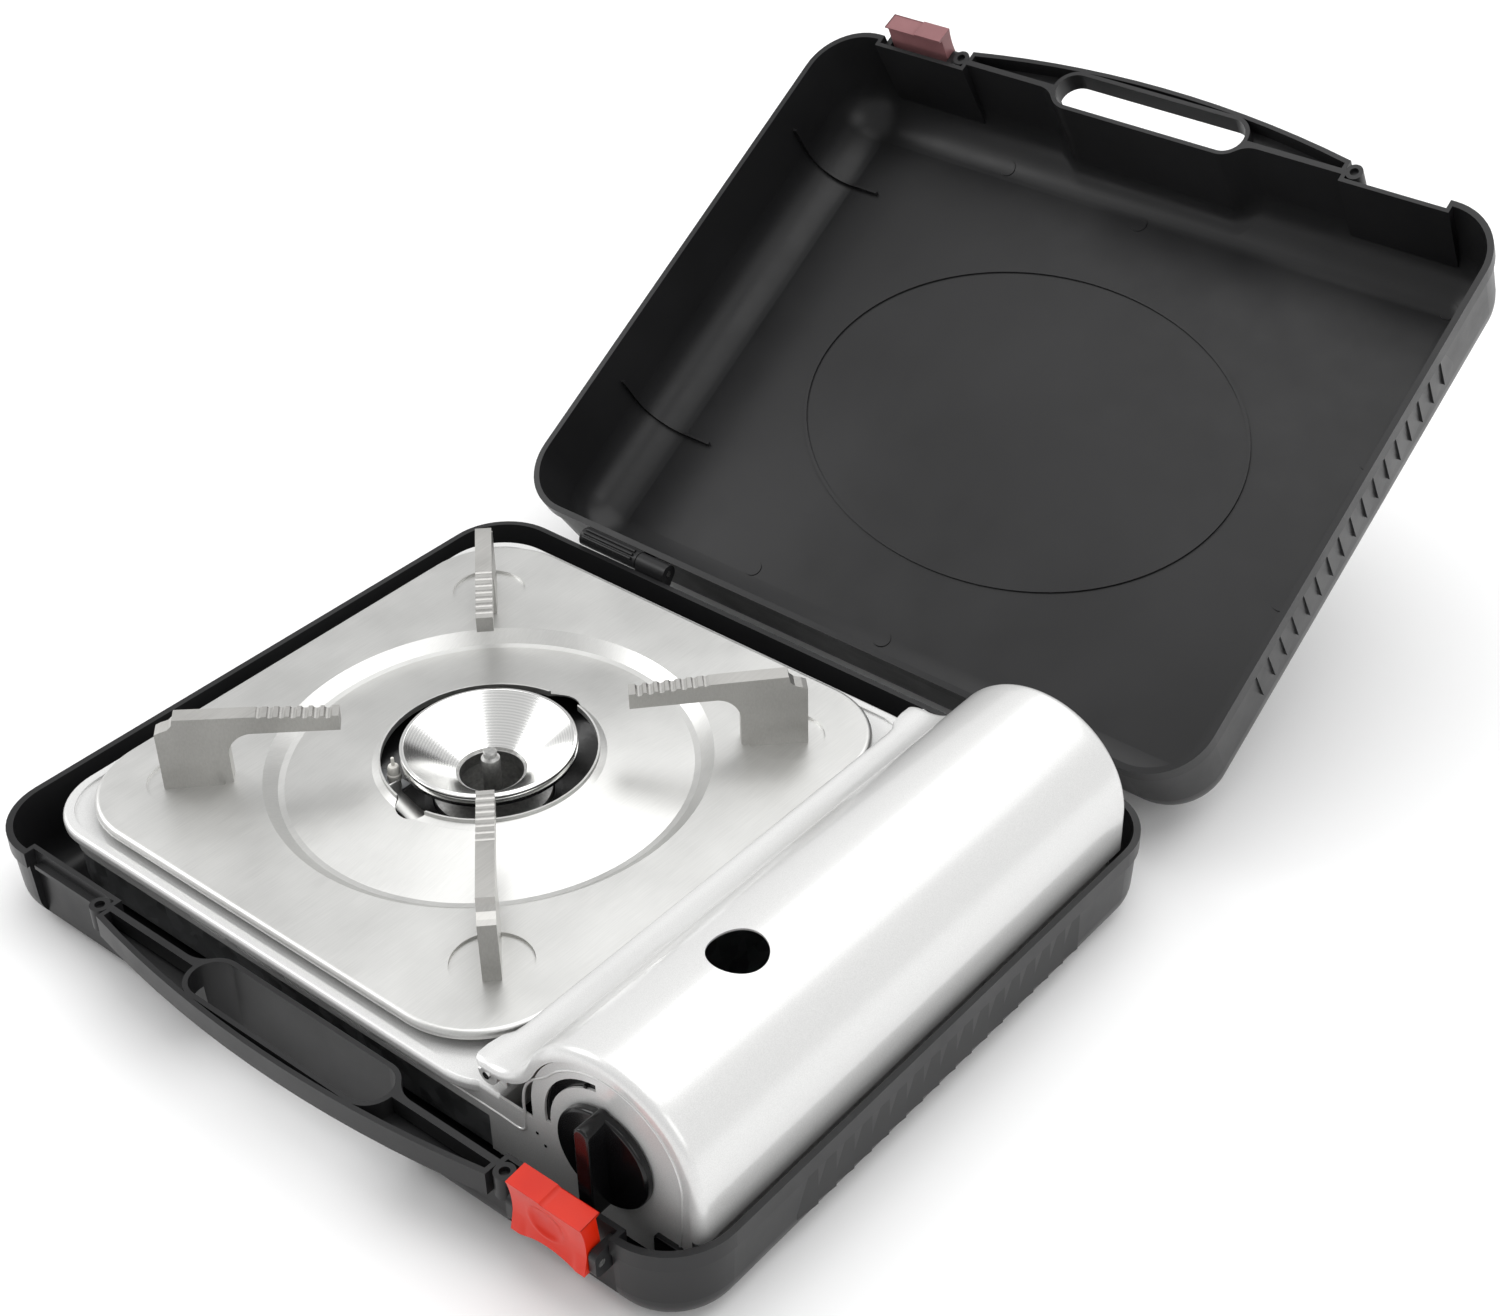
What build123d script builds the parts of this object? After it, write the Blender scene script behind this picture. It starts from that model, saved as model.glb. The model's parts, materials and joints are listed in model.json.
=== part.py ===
from build123d import *
from math import cos, radians, sin
import os

os.makedirs("parts", exist_ok=True)

# ---- Carry case: driving dimensions, mm ----
case_width = 365.0
case_depth = 292.0
tray_depth = 38.0
lid_depth = 56.0
case_wall = 2.0
case_floor = 2.5
case_draft = 2.5
corner_radius = 28.0
tray_bottom_radius = 14.0
lid_bottom_radius = 24.0
rim_band_height = 7.0
rim_band_proud = 0.8
rim_gap = 0.3

# ---- Case hinge ----
hinge_back = 4.6
hinge_up = 2.0
barrel_radius = 4.2
hinge_pin_radius = 1.5
running_clearance = 0.05
lid_knuckle_inset = 49.5
lid_knuckle_length = 33.7
tray_knuckle_length = 16.8
knuckle_gap = 0.5
lid_knuckle_to = case_width / 2 - lid_knuckle_inset
lid_knuckle_from = lid_knuckle_to - lid_knuckle_length
tray_knuckle_to = lid_knuckle_from - knuckle_gap
tray_knuckle_from = tray_knuckle_to - tray_knuckle_length
knuckle_web_height = 14.0
knuckle_wall_gap = 0.4
knuckle_drop = 0.5
knuckle_root = 1.4
lid_open_angle = 148.0

# ---- Case latches and their bays ----
latch_inset = 51.0
latch_centre = case_width / 2 - latch_inset
bay_inner_reach = 28.5
bay_outer_reach = 20.5
bay_inner = latch_centre - bay_inner_reach
bay_outer = latch_centre + bay_outer_reach
bay_set_back = 4.5
bay_cut = 40.0
ear_round = 2.5
fitting_root = 0.5
ledge_overlap = 1.0
latch_width = 33.0
latch_side_gap = 0.5
ear_thickness = 3.0
ear_height = 11.0
ledge_reach = 3.0
ledge_bottom = 7.0
ledge_height = 2.0
latch_pin_out = 3.0
latch_pin_down = 9.0
latch_pin_radius = 1.5
latch_front = 7.0
latch_back = 4.0
latch_top = 19.0
latch_bottom = 4.6
latch_lip_reach = 5.9
latch_lip_height = 2.5
latch_lip_bevel = 0.8
latch_top_front = 3.85
latch_waist_front = 2.45
latch_waist_level = 8.55
latch_foot_round = 1.5
latch_rest_lean = 6.0
latch_arch_radius = 22.0
latch_arch_rise = 2.6

# ---- Case handle ----
bow_end_gap = 1.4
bow_half = bay_inner - bow_end_gap
bow_end_out = 5.0
bow_apex_out = 14.5
bow_wall = 2.0
bow_height = 10.0
web_thickness = 2.0
grip_width = 100.0
grip_opening = 18.0
grip_wall = 2.0
grip_foot_radius = 12.0
grip_foot_share = 0.55
peg_out = 2.8
peg_place = bay_inner + peg_out
peg_radius = 4.0

# ---- Case side ribs and lid ribs ----
rib_count = 17
rib_pitch = 10.0
rib_top = 8.0
rib_bottom = 26.0
rib_proud = 1.3
rib_root = 1.6
rib_tail = 1.0
lid_rib_reach = 42.0
lid_rib_thickness = 1.4
lid_rib_height = 2.2
lid_rib_top = 16.0
lid_rib_places = (90.0, -68.0)
ejector_radius = 4.0
ejector_height = 0.4
ejector_places = (
    (-83.0, 126.0),
    (-3.0, 119.0),
    (156.0, 124.0),
    (159.0, 42.0),
    (157.0, -34.0),
    (-80.0, -116.0),
    (0.0, -122.0),
)
floor_bead_width = 230.0
floor_bead_depth = 165.0
floor_bead_height = 0.8
floor_bead_thickness = 1.6

# ---- Stove levels, from the ground ----
foot_height = 4.0
pan_level = case_floor + foot_height
seam_level = 28.5
lip_level = 41.5
lip_foot = 36.5
deck_level = 40.5
plate_level = 47.5
sheet = 1.0
seam_gap = 0.1

# ---- Stove footprint ----
stove_left_gap = 18.0
stove_right_gap = 9.5
stove_front_gap = 20.5
bay_width = 89.0
bay_overlap = 44.0
bay_wall_in = 0.5
ring_in = 6.6
main_left = stove_left_gap - case_width / 2
side_right = case_width / 2 - stove_right_gap
main_right = side_right - bay_width
side_left = main_right - bay_overlap
main_half = case_depth / 2 - stove_front_gap
bay_left = main_right - bay_wall_in
ring_from = main_right - ring_in
main_corner = 24.0
side_corner = 10.0
foot_radius = 9.0
foot_left_inset = 26.0
foot_middle_inset = 21.0
foot_right_inset = 25.0
foot_end_inset = 31.0
foot_bay_inset = 25.5
foot_places = tuple(
    (place, side * reach)
    for place, reach in (
        (main_left + foot_left_inset, main_half - foot_end_inset),
        (main_right - foot_middle_inset, main_half - foot_end_inset),
        (side_right - foot_right_inset, main_half - foot_bay_inset),
    )
    for side in (-1, 1)
)

# ---- Burner and drip plate ----
burner_offset = 3.95
burner_x = (main_left + main_right) / 2 - burner_offset
plate_side_gaps = 13.0
plate_width = main_right - main_left - plate_side_gaps
plate_end_gaps = 6.0
plate_depth = 2 * main_half - plate_end_gaps
plate_corner = 38.0
plate_sheet = 0.8
plate_edge_height = 3.0
recess_top_radius = 91.0
recess_foot_radius = 84.0
recess_depth = 4.6
opening_radius = 43.2
opening_rise = 1.4
collar_rise = 3.0
lobe_width = 16.5
lobe_reach = 48.5
dimple_radius = 16.0
dimple_place = 84.0
dimple_depth = 1.2
deck_opening_radius = 70.0
seat_ring_in = 1.4
seat_ring_width = 2.6
seat_ring_gap = 0.3

# ---- Pan supports ----
support_outer = 127.4
support_top_outer = 119.8
support_tip = 56.4
support_leg = 27.0
support_top = 33.1
support_tip_drop = 3.1
support_tip_height = 7.0
support_width = 7.0
support_sheet = 1.0
tooth_pitch = 4.4
tooth_depth = 1.6
tooth_count = 8
rivet_radius = 1.8

# ---- Canister cover and its bay ----
cover_right_inset = 38.5
cover_x = side_right - cover_right_inset
cover_level = 49.3
cover_radius = 40.5
cover_overhang = 1.0
cover_half = main_half + cover_overhang
cover_sheet = 0.8
cover_edge_radius = 4.5
cover_flange_level = 52.5
cover_flange_lap = 9.2
cover_flange_left = main_right - cover_flange_lap
cover_crease_radius = 10.0
cover_skirt = 17.3
cover_hole_radius = 11.0
cover_hole_inset = 64.5
cover_hole_y = cover_hole_inset - cover_half
cover_hinge_inset = 5.0
cover_hinge_x = main_right - cover_hinge_inset
cover_hinge_level = 49.5
cover_lobe_radius = 3.8
cover_pin_radius = 1.5
canister_offset = 1.0
canister_x = cover_x - canister_offset
canister_level = 44.5
canister_radius = 33.5

# ---- Gas train ----
knob_x = cover_x
knob_level = 48.5
knob_radius = 20.0
knob_gap = 0.8
knob_back = main_half + knob_gap
knob_disc = 3.2
knob_length = 11.7
knob_reach = knob_back + knob_length
wing_thickness = 6.5
wing_half = 21.0
wing_round = 0.9
knob_rim_round = 1.2
shaft_radius = 3.5
regulator_radius = 19.0
regulator_set_back = 5.5
regulator_length = 36.0
regulator_front = main_half - regulator_set_back
regulator_back = regulator_front - regulator_length
jet_inset = 18.0
jet_x = main_right - jet_inset
jet_end_inset = 41.5
jet_y = jet_end_inset - main_half
jet_level = 26.5

# ---- Stove sheet-metal details ----
pan_lap = 5.0
pan_notch_inset = 28.0
pan_notch_from = main_right - pan_notch_inset
pan_bottom_radius = 7.0
pan_vent_pitch = 18.0
pan_vent_inset = 34.0
pan_vent_row = 2 * (main_half - pan_vent_inset)
pan_vent_count = 9
pan_vent_length = 22.0
pan_vent_width = 5.0
foot_stem_radius = 4.0
foot_head = 1.5
foot_head_radius = 6.75
foot_taper = 5.0
lip_width = 4.5
lip_reach = 3.5
lip_radius = 1.8
side_wall_level = 37.0
panel_gap = 0.5
panel_skirt = 16.5
cover_flange_width = 5.0
ear_inset = 5.5
ear_middle = main_half - ear_inset
ear_slot_gap = 0.6
ear_sheet = 1.5
lobe_thickness = 4.0
shaft_clearance = 1.5
vent_inset = 94.5
vent_start = main_left + vent_inset
vent_pitch = 26.0
vent_count = 5
vent_level = 32.5
vent_length = 20.0
vent_height = 3.2
catch_inset = 13.0
catch_x = side_right - catch_inset
catch_level = 20.0
catch_width = 12.0
catch_height = 9.0
catch_thickness = 2.2
catch_corner = 1.5
catch_edge = 0.8
shield_inset = 3.0
shield_x = main_right - shield_inset
shield_end_inset = 19.5
shield_half = main_half - shield_end_inset
shield_flange = 8.0
shield_slot_level = 33.0
shield_slot_length = 18.0
shield_slot_height = 3.0
shield_slot_pitch = 30.0
shield_slot_count = 5
cradle_width = 46.0
cradle_front = -30.0
cradle_back = 84.0
cradle_sheet = 1.5
cradle_height = 11.0
cradle_gap = 0.5

# ---- Gas train details ----
boss_radius = 8.0
regulator_boss = 4.5
regulator_round = 2.0
regulator_foot_width = 19.0
regulator_foot_back = 12.0
regulator_foot_sheet = 2.0
shaft_depth = 12.0
pipe_boss_from = 8.0
pipe_boss_radius = 6.0
pipe_boss_reach = 4.0
pipe_start_level = 40.0
pipe_radius = 2.5
pipe_hole_radius = 5.0
pipe_room = 5.0
pipe_end_inset = 31.0
pipe_y = pipe_end_inset - main_half
pipe_level = 27.0
injector_length = 9.0
injector_radius = 5.0
injector_bore = 0.6
mixer_gap = 5.0
mixer_radius = 7.0
mixer_mouth_radius = 9.5
mixer_flare = 8.0
socket_radius = 25.0
socket_bore = 20.0
socket_thickness = 8.0
socket_bore_depth = 4.0
socket_well = 12.0
socket_well_depth = 2.5
socket_nozzle = 5.0
socket_nozzle_drop = 0.5
socket_key_width = 7.0
socket_key_height = 4.0
socket_key_gap = 0.4
socket_key_reach = 3.0
igniter_inset = 78.0
igniter_x = side_right - igniter_inset
igniter_level = 19.5
igniter_width = 14.0
igniter_height = 16.0
igniter_corner = 3.0
igniter_length = 26.0
igniter_nose_radius = 4.0
igniter_nose = 6.0
crescent_radius = 29.0
crescent_shift = 2.5
crescent_trim = 4.0

# ---- Burner details ----
base_radius = 24.0
base_level = 18.0
base_top = 32.5
neck_radius = 13.0
neck_level = 37.0
neck_top = 40.5
neck_wall = 1.5
base_wall = 2.0
bell_socket_radius = 17.5
bell_seat_gap = 0.6
bell_fit = 0.1
bell_rim_width = 1.6
bell_rim_bevel = 0.5
bell_rim_round = 0.4
bell_groove_slope = 0.3
post_foot = 1.5
post_foot_top = 25.0
post_cap_height = 2.5
post_step = 1.0
post_bevel = 0.4
bowl_collar = 3.0
bowl_bend = 0.4
throat_radius = 14.3
throat_level = 41.5
bell_radius = 35.3
bell_level = 56.3
bell_ring_height = 1.6
bell_ring_pitch = 3.6
bell_groove = 1.5
post_radius = 3.8
post_cap_radius = 2.75
post_level = 51.0
bowl_level = 39.5
bowl_low = 30.0
bowl_gap = 0.6
bowl_flange = 6.0
bowl_slope_radius = 50.0
bracket_half = 34.0
bracket_step = 22.0
bracket_width = 16.0
spark_offset = 25.8
spark_x = burner_x - spark_offset
spark_y = -30.0
spark_level = 46.0
spark_half = 18.0
spark_foot_end = 6.0
spark_plate_drop = 6.5
spark_width = 9.0
spark_rod_in = 2.0
spark_rod_radius = 2.4
spark_rod_length = 17.0
spark_wire_radius = 0.7
spark_below = 6.0
spark_foot_level = spark_level - spark_plate_drop - spark_below
spark_wire_length = 4.0

# ---- Support and plate details ----
plate_edge_radius = 2.2
cone_slope = 0.11
press_lap = 0.5
press_round = 1.5
press_rise = 0.3
press_foot = 2.5
press_shift = 0.6
collar_foot = 3.5
collar_bend = 0.4
dimple_lap = 0.2
opening_cut = 2.0
notch_drop = 5.5
notch_slope = 1.0
notch_curve = 2.4
arm_fall = 1.0
arm_blend = -0.1
tooth_lift = 0.4
channel_cut = 5.0
arm_height = 9.0
arm_under_radius = 9.0
tooth_start = 2.0
rivet_place = 114.0
rivet_head_radius = 2.3
seat_clearance = 0.7
rivet_head = 1.0


# ---- Case halves ----
tray_plane = Plane(origin=(0, 0, tray_depth), x_dir=(-1, 0, 0), z_dir=(0, 0, 1))
lid_tilt = radians(180.0 - lid_open_angle)
lid_back = (0, cos(lid_tilt), sin(lid_tilt))
lid_face = (0, -sin(lid_tilt), cos(lid_tilt))
hinge_y = case_depth / 2 + hinge_back
hinge_level = tray_depth + hinge_up
lid_run = hinge_back + case_depth / 2
lid_lift = hinge_up - rim_gap
lid_plane = Plane(
    origin=(
        0,
        hinge_y + lid_back[1] * lid_run + lid_face[1] * lid_lift,
        hinge_level + lid_back[2] * lid_run + lid_face[2] * lid_lift,
    ),
    x_dir=(1, 0, 0),
    z_dir=lid_face,
)
handle_face = case_depth / 2
bay_face = handle_face - bay_set_back
bay_centre = (bay_inner + bay_outer) / 2


def moulding(plane, depth, bottom_radius, inset, floor):
    """Tapered block with a rounded bottom below the plane, inset from the case body's faces."""
    shrink = 2 * (rim_band_proud + inset)
    with BuildPart() as block:
        with BuildSketch(plane):
            RectangleRounded(
                case_width - shrink, case_depth - shrink, corner_radius - rim_band_proud - inset
            )
        extrude(amount=-(depth - floor), taper=case_draft)
        bottom = block.faces().sort_by(Axis(plane.origin, plane.z_dir))[0]
        fillet(bottom.edges(), bottom_radius - inset)
    return block.part


def bay_blocks(plane, depth, inset):
    """Two boxes that set the handle face back where the latches sit, grown by inset."""
    with BuildPart() as blocks:
        with BuildSketch(plane):
            with Locations(
                (-bay_centre, bay_face - inset + bay_cut / 2),
                (bay_centre, bay_face - inset + bay_cut / 2),
            ):
                Rectangle(bay_outer - bay_inner + 2 * inset, bay_cut)
        extrude(amount=-depth)
    return blocks.part


def grip_block(plane, depth, wall):
    """Round-ended block of the grip opening, grown by wall."""
    with BuildPart() as block:
        with BuildSketch(plane):
            with Locations((0, handle_face)):
                SlotOverall(grip_width + 2 * wall, grip_opening + 2 * wall)
        extrude(amount=-depth)
    return block.part


def bow_block(plane, depth, wall):
    """Arched block of the handle bow, shrunk by wall."""
    half = bow_half - wall
    with BuildPart() as block:
        with BuildSketch(plane):
            with BuildLine():
                Line((half, handle_face - case_wall), (half, handle_face + bow_end_out - wall))
                ThreePointArc(
                    (half, handle_face + bow_end_out - wall),
                    (0, handle_face + bow_apex_out - wall),
                    (-half, handle_face + bow_end_out - wall),
                )
                Line((-half, handle_face + bow_end_out - wall), (-half, handle_face - case_wall))
                Line((-half, handle_face - case_wall), (half, handle_face - case_wall))
            make_face()
        extrude(amount=-depth)
    return block.part


def side_ribs(plane):
    """Row of shingled ribs on both side walls of a case half."""
    wall_x = case_width / 2 - rim_band_proud
    with BuildPart() as ribs:
        with BuildSketch(plane.offset(-rib_top)):
            for side in (-1, 1):
                for index in range(rib_count):
                    start = (index - (rib_count - 1) / 2) * rib_pitch - rib_pitch / 2
                    with BuildLine():
                        Polyline(
                            (side * (wall_x - rib_root), start),
                            (side * (wall_x + rib_proud - rib_bottom * sin(radians(case_draft))), start),
                            (side * (wall_x - rib_tail), start + rib_pitch),
                            (side * (wall_x - rib_root), start + rib_pitch),
                            close=True,
                        )
                    make_face()
        extrude(amount=-(rib_bottom - rib_top))
    return ribs.part


def knuckles(plane, axis_height, start, end):
    """Hinge knuckles behind a case half, left and right, with the pin bore through each."""
    axis_y = -case_depth / 2 - hinge_back
    reach = barrel_radius * sin(radians(45))
    with BuildPart() as blocks:
        for side in (-1, 1):
            face = Plane(
                origin=plane.from_local_coords((side * start, 0, 0)),
                x_dir=plane.y_dir,
                z_dir=plane.x_dir * side,
            )
            turn = 1 if (face.y_dir.dot(plane.z_dir)) > 0 else -1
            with BuildSketch(face):
                with BuildLine():
                    Polyline(
                        (axis_y - reach, turn * (axis_height - reach)),
                        (axis_y + reach, turn * (axis_height + reach)),
                        (-case_depth / 2 - knuckle_wall_gap, turn * max(axis_height, 0)),
                        (-case_depth / 2 - knuckle_wall_gap, turn * -knuckle_drop),
                        (-case_depth / 2 + knuckle_root, turn * -knuckle_drop),
                        (-case_depth / 2 + knuckle_root, turn * -knuckle_web_height),
                        close=True,
                    )
                make_face()
                with Locations((axis_y, turn * axis_height)):
                    Circle(barrel_radius)
                    Circle(hinge_pin_radius + running_clearance, mode=Mode.SUBTRACT)
            extrude(amount=end - start)
    return blocks.part


def near_grip_foot(plane, depth, edge):
    """True for the edges where the grip tube meets the floor and the curve above it."""
    middle = plane.to_local_coords(edge.center())
    inside = handle_face - grip_opening / 2 - grip_wall - 1
    beside = abs(middle.X) < grip_width / 2 + 2 * grip_wall
    return beside and middle.Y > inside and middle.Z < -depth * grip_foot_share


def case_half(plane, depth, bottom_radius, axis_height, knuckle_from, knuckle_to):
    """One moulded half of the case: rim on the plane, handle toward its Y, latch toward its -X."""
    rim_block = bay_blocks(plane, depth + 1, 0)
    with BuildPart() as half:
        add(moulding(plane, depth, bottom_radius, 0, 0))
        with BuildSketch(plane):
            RectangleRounded(case_width, case_depth, corner_radius)
        extrude(amount=-rim_band_height)
        add(side_ribs(plane))
        add(rim_block, mode=Mode.SUBTRACT)
    with BuildPart() as cavity:
        add(moulding(plane, depth, bottom_radius, case_wall, case_floor))
        add(bay_blocks(plane, depth, case_wall), mode=Mode.SUBTRACT)
        add(grip_block(plane, depth, grip_wall), mode=Mode.SUBTRACT)
        grip_foot = cavity.edges().filter_by(lambda edge: near_grip_foot(plane, depth, edge))
        fillet(grip_foot, grip_foot_radius)
    with BuildPart() as bow:
        add(bow_block(plane, bow_height, 0))
        add(bow_block(plane, bow_height - web_thickness, bow_wall), mode=Mode.SUBTRACT)
        add(grip_block(plane, bow_height, grip_wall))
        with BuildSketch(plane):
            with Locations((-peg_place, handle_face), (peg_place, handle_face)):
                Circle(peg_radius)
        extrude(amount=-bow_height)
        with BuildSketch(plane):
            with Locations((-peg_place, handle_face), (peg_place, handle_face)):
                Circle(peg_radius / 2)
        extrude(amount=-web_thickness, mode=Mode.SUBTRACT)
    ear_inner = latch_centre - latch_width / 2 - latch_side_gap - ear_thickness / 2
    ear_outer = latch_centre + latch_width / 2 + latch_side_gap + ear_thickness / 2
    ear_depth = bay_set_back + latch_pin_out + latch_pin_radius * 2
    with BuildPart(plane) as fittings:
        for place in (ear_inner, ear_outer):
            with Locations((-place, bay_face - fitting_root + ear_depth / 2, -latch_pin_down)):
                Box(ear_thickness, ear_depth + 2 * fitting_root, ear_height)
        along = fittings.edges().filter_by(Axis(plane.origin, plane.x_dir))
        fillet(along.group_by(Axis(plane.origin, plane.y_dir))[-1], ear_round)
        ledge_middle = bay_face - fitting_root + ledge_reach / 2
        with Locations((latch_centre, ledge_middle, -ledge_bottom + ledge_height / 2)):
            Box(latch_width + 2 * ledge_overlap, ledge_reach + 2 * fitting_root, ledge_height)
    bore_start = -(latch_centre + latch_width / 2 + latch_side_gap + ear_thickness)
    bore_plane = Plane(
        origin=plane.from_local_coords((bore_start, handle_face + latch_pin_out, -latch_pin_down)),
        z_dir=plane.x_dir,
    )
    with BuildPart() as whole:
        add(half.part)
        add(cavity.part, mode=Mode.SUBTRACT)
        add(bow.part)
        add(grip_block(plane, depth + 1, 0), mode=Mode.SUBTRACT)
        add(knuckles(plane, axis_height, knuckle_from, knuckle_to))
        add(fittings.part)
        with BuildSketch(bore_plane):
            Circle(latch_pin_radius)
        extrude(amount=latch_width + 2 * latch_side_gap + 2 * ear_thickness, mode=Mode.SUBTRACT)
    return whole.part


with BuildPart() as case_base:
    add(case_half(tray_plane, tray_depth, tray_bottom_radius, hinge_up, tray_knuckle_from, tray_knuckle_to))
case_base.part.label = "case_base"
export_step(case_base.part, "parts/case_base.step")

def wall_lining(region, height):
    """The part of a block that stands up to this height off the inside of the lid."""
    with BuildPart() as lining:
        add(region)
        add(
            moulding(lid_plane, lid_depth, lid_bottom_radius, case_wall / 2, case_floor / 2),
            mode=Mode.INTERSECT,
        )
        add(
            moulding(lid_plane, lid_depth, lid_bottom_radius, case_wall + height, case_floor + height),
            mode=Mode.SUBTRACT,
        )
    return lining.part


lid_floor_plane = lid_plane.offset(-(lid_depth - case_floor))
with BuildPart() as rib_region:
    with BuildSketch(lid_plane.offset(-lid_depth)):
        with Locations(*[(-case_width / 2 + lid_rib_reach / 2, place) for place in lid_rib_places]):
            Rectangle(lid_rib_reach, lid_rib_thickness)
    extrude(amount=lid_depth - lid_rib_top)
with BuildPart() as disc_region:
    with BuildSketch(lid_plane.offset(-lid_depth)):
        with Locations(*ejector_places):
            Circle(ejector_radius)
    extrude(amount=lid_depth - rim_band_height)
with BuildPart() as case_lid:
    add(
        case_half(
            lid_plane, lid_depth, lid_bottom_radius, rim_gap - hinge_up, lid_knuckle_from, lid_knuckle_to
        )
    )
    with BuildSketch(lid_floor_plane):
        Ellipse(floor_bead_width / 2, floor_bead_depth / 2)
        Ellipse(
            floor_bead_width / 2 - floor_bead_thickness,
            floor_bead_depth / 2 - floor_bead_thickness,
            mode=Mode.SUBTRACT,
        )
    extrude(amount=floor_bead_height)
    add(wall_lining(rib_region.part, lid_rib_height))
    add(wall_lining(disc_region.part, ejector_height))
case_lid.part.label = "case_lid"
export_step(case_lid.part, "parts/case_lid.step")

with BuildPart() as case_hinge_pins:
    for side in (-1, 1):
        middle = side * (tray_knuckle_from + lid_knuckle_to) / 2
        with Locations(Location((middle, hinge_y, hinge_level), (0, 90, 0))):
            Cylinder(hinge_pin_radius, lid_knuckle_to - tray_knuckle_from)
case_hinge_pins.part.label = "case_hinge_pins"
export_step(case_hinge_pins.part, "parts/case_hinge_pins.step")


# ---- Case latches ----
def latch_axis_plane(half_plane, lean):
    """Frame on a latch pin: X along the pin, Y away from the case, leaning outward by lean."""
    centre = half_plane.from_local_coords((-latch_centre, handle_face + latch_pin_out, -latch_pin_down))
    upright = half_plane.z_dir * cos(radians(lean)) + half_plane.y_dir * sin(radians(lean))
    return Plane(origin=centre, x_dir=half_plane.x_dir, z_dir=upright)


def latch(half_plane):
    """Moulded snap latch with a hooked lip at its top, a dished face and two flared feet."""
    axis_plane = latch_axis_plane(half_plane, latch_rest_lean)
    profile_plane = Plane(
        origin=axis_plane.from_local_coords((-latch_width / 2, 0, 0)),
        x_dir=axis_plane.y_dir,
        z_dir=axis_plane.x_dir,
    )
    with BuildPart() as body:
        with BuildSketch(profile_plane):
            with BuildLine():
                Polyline(
                    (-latch_back, latch_top - latch_lip_height),
                    (-latch_lip_reach, latch_top - latch_lip_height),
                    (-latch_lip_reach, latch_top - latch_lip_bevel),
                    (-latch_back, latch_top),
                    (latch_top_front, latch_top),
                )
                Spline(
                    (latch_top_front, latch_top),
                    (latch_waist_front, latch_waist_level),
                    (latch_front, -latch_bottom),
                )
                Polyline(
                    (latch_front, -latch_bottom),
                    (-latch_back, -latch_bottom),
                    (-latch_back, latch_top - latch_lip_height),
                )
            make_face()
        extrude(amount=latch_width)
        side_edges = body.edges().filter_by(Axis(axis_plane.origin, axis_plane.y_dir))
        fillet(side_edges.sort_by(Axis(axis_plane.origin, axis_plane.z_dir))[:2], latch_foot_round)
    foot_plane = Plane(origin=axis_plane.origin, x_dir=axis_plane.x_dir, z_dir=-axis_plane.y_dir)
    with BuildPart() as whole:
        add(body.part)
        with BuildSketch(profile_plane):
            Circle(latch_pin_radius + running_clearance)
        extrude(amount=latch_width, mode=Mode.SUBTRACT)
        with BuildSketch(foot_plane.offset(-latch_front * 2)):
            with Locations((0, latch_bottom + latch_arch_radius - latch_arch_rise)):
                Circle(latch_arch_radius)
        extrude(amount=latch_front * 2 - latch_back / 2, mode=Mode.SUBTRACT)
    return whole.part


def latch_pin(half_plane):
    """Straight pin through the two ears of a latch bay."""
    frame = latch_axis_plane(half_plane, 0)
    half_length = latch_width / 2 + latch_side_gap + ear_thickness
    with BuildPart() as pin:
        with BuildSketch(Plane(origin=frame.from_local_coords((-half_length, 0, 0)), z_dir=frame.x_dir)):
            Circle(latch_pin_radius)
        extrude(amount=2 * half_length)
    return pin.part


for half_plane, half_name in ((tray_plane, "base"), (lid_plane, "lid")):
    with BuildPart() as case_latch:
        add(latch(half_plane))
    case_latch.part.label = half_name + "_latch"
    export_step(case_latch.part, "parts/" + half_name + "_latch.step")
    with BuildPart() as case_latch_pin:
        add(latch_pin(half_plane))
    case_latch_pin.part.label = half_name + "_latch_pin"
    export_step(case_latch_pin.part, "parts/" + half_name + "_latch_pin.step")


# ---- Stove body ----
def body_outline(inset):
    """Plan outline of the stove body, drawn into the open sketch and moved inward by inset."""
    with Locations(((main_left + main_right) / 2, 0)):
        RectangleRounded(
            main_right - main_left - 2 * inset, 2 * (main_half - inset), main_corner - inset
        )
    with Locations(((side_left + side_right) / 2, 0)):
        RectangleRounded(
            side_right - side_left - 2 * inset, 2 * (main_half - inset), side_corner - inset
        )


pan_inset = sheet + seam_gap
with BuildPart() as bottom_pan:
    with BuildSketch(Plane.XY.offset(pan_level)):
        body_outline(pan_inset)
    extrude(amount=seam_level + pan_lap - pan_level)
    fillet(bottom_pan.faces().sort_by(Axis.Z)[0].edges(), pan_bottom_radius)
    offset(amount=-sheet, openings=bottom_pan.faces().sort_by(Axis.Z)[-1])
    with BuildSketch(Plane.XY.offset(seam_level - seam_gap)):
        with Locations((side_right, 0)):
            Rectangle(2 * (side_right - pan_notch_from), 4 * main_half)
    extrude(amount=pan_lap + sheet, mode=Mode.SUBTRACT)
    with BuildSketch(Plane.XY.offset(pan_level)):
        with GridLocations(pan_vent_pitch, pan_vent_row, pan_vent_count, 2):
            SlotOverall(pan_vent_length, pan_vent_width, rotation=90)
    extrude(amount=sheet, mode=Mode.SUBTRACT)
    with BuildSketch(Plane.XY.offset(pan_level)):
        with Locations(*foot_places):
            Circle(foot_stem_radius)
    extrude(amount=sheet, mode=Mode.SUBTRACT)
bottom_pan.part.label = "bottom_pan"
export_step(bottom_pan.part, "parts/bottom_pan.step")

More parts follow.
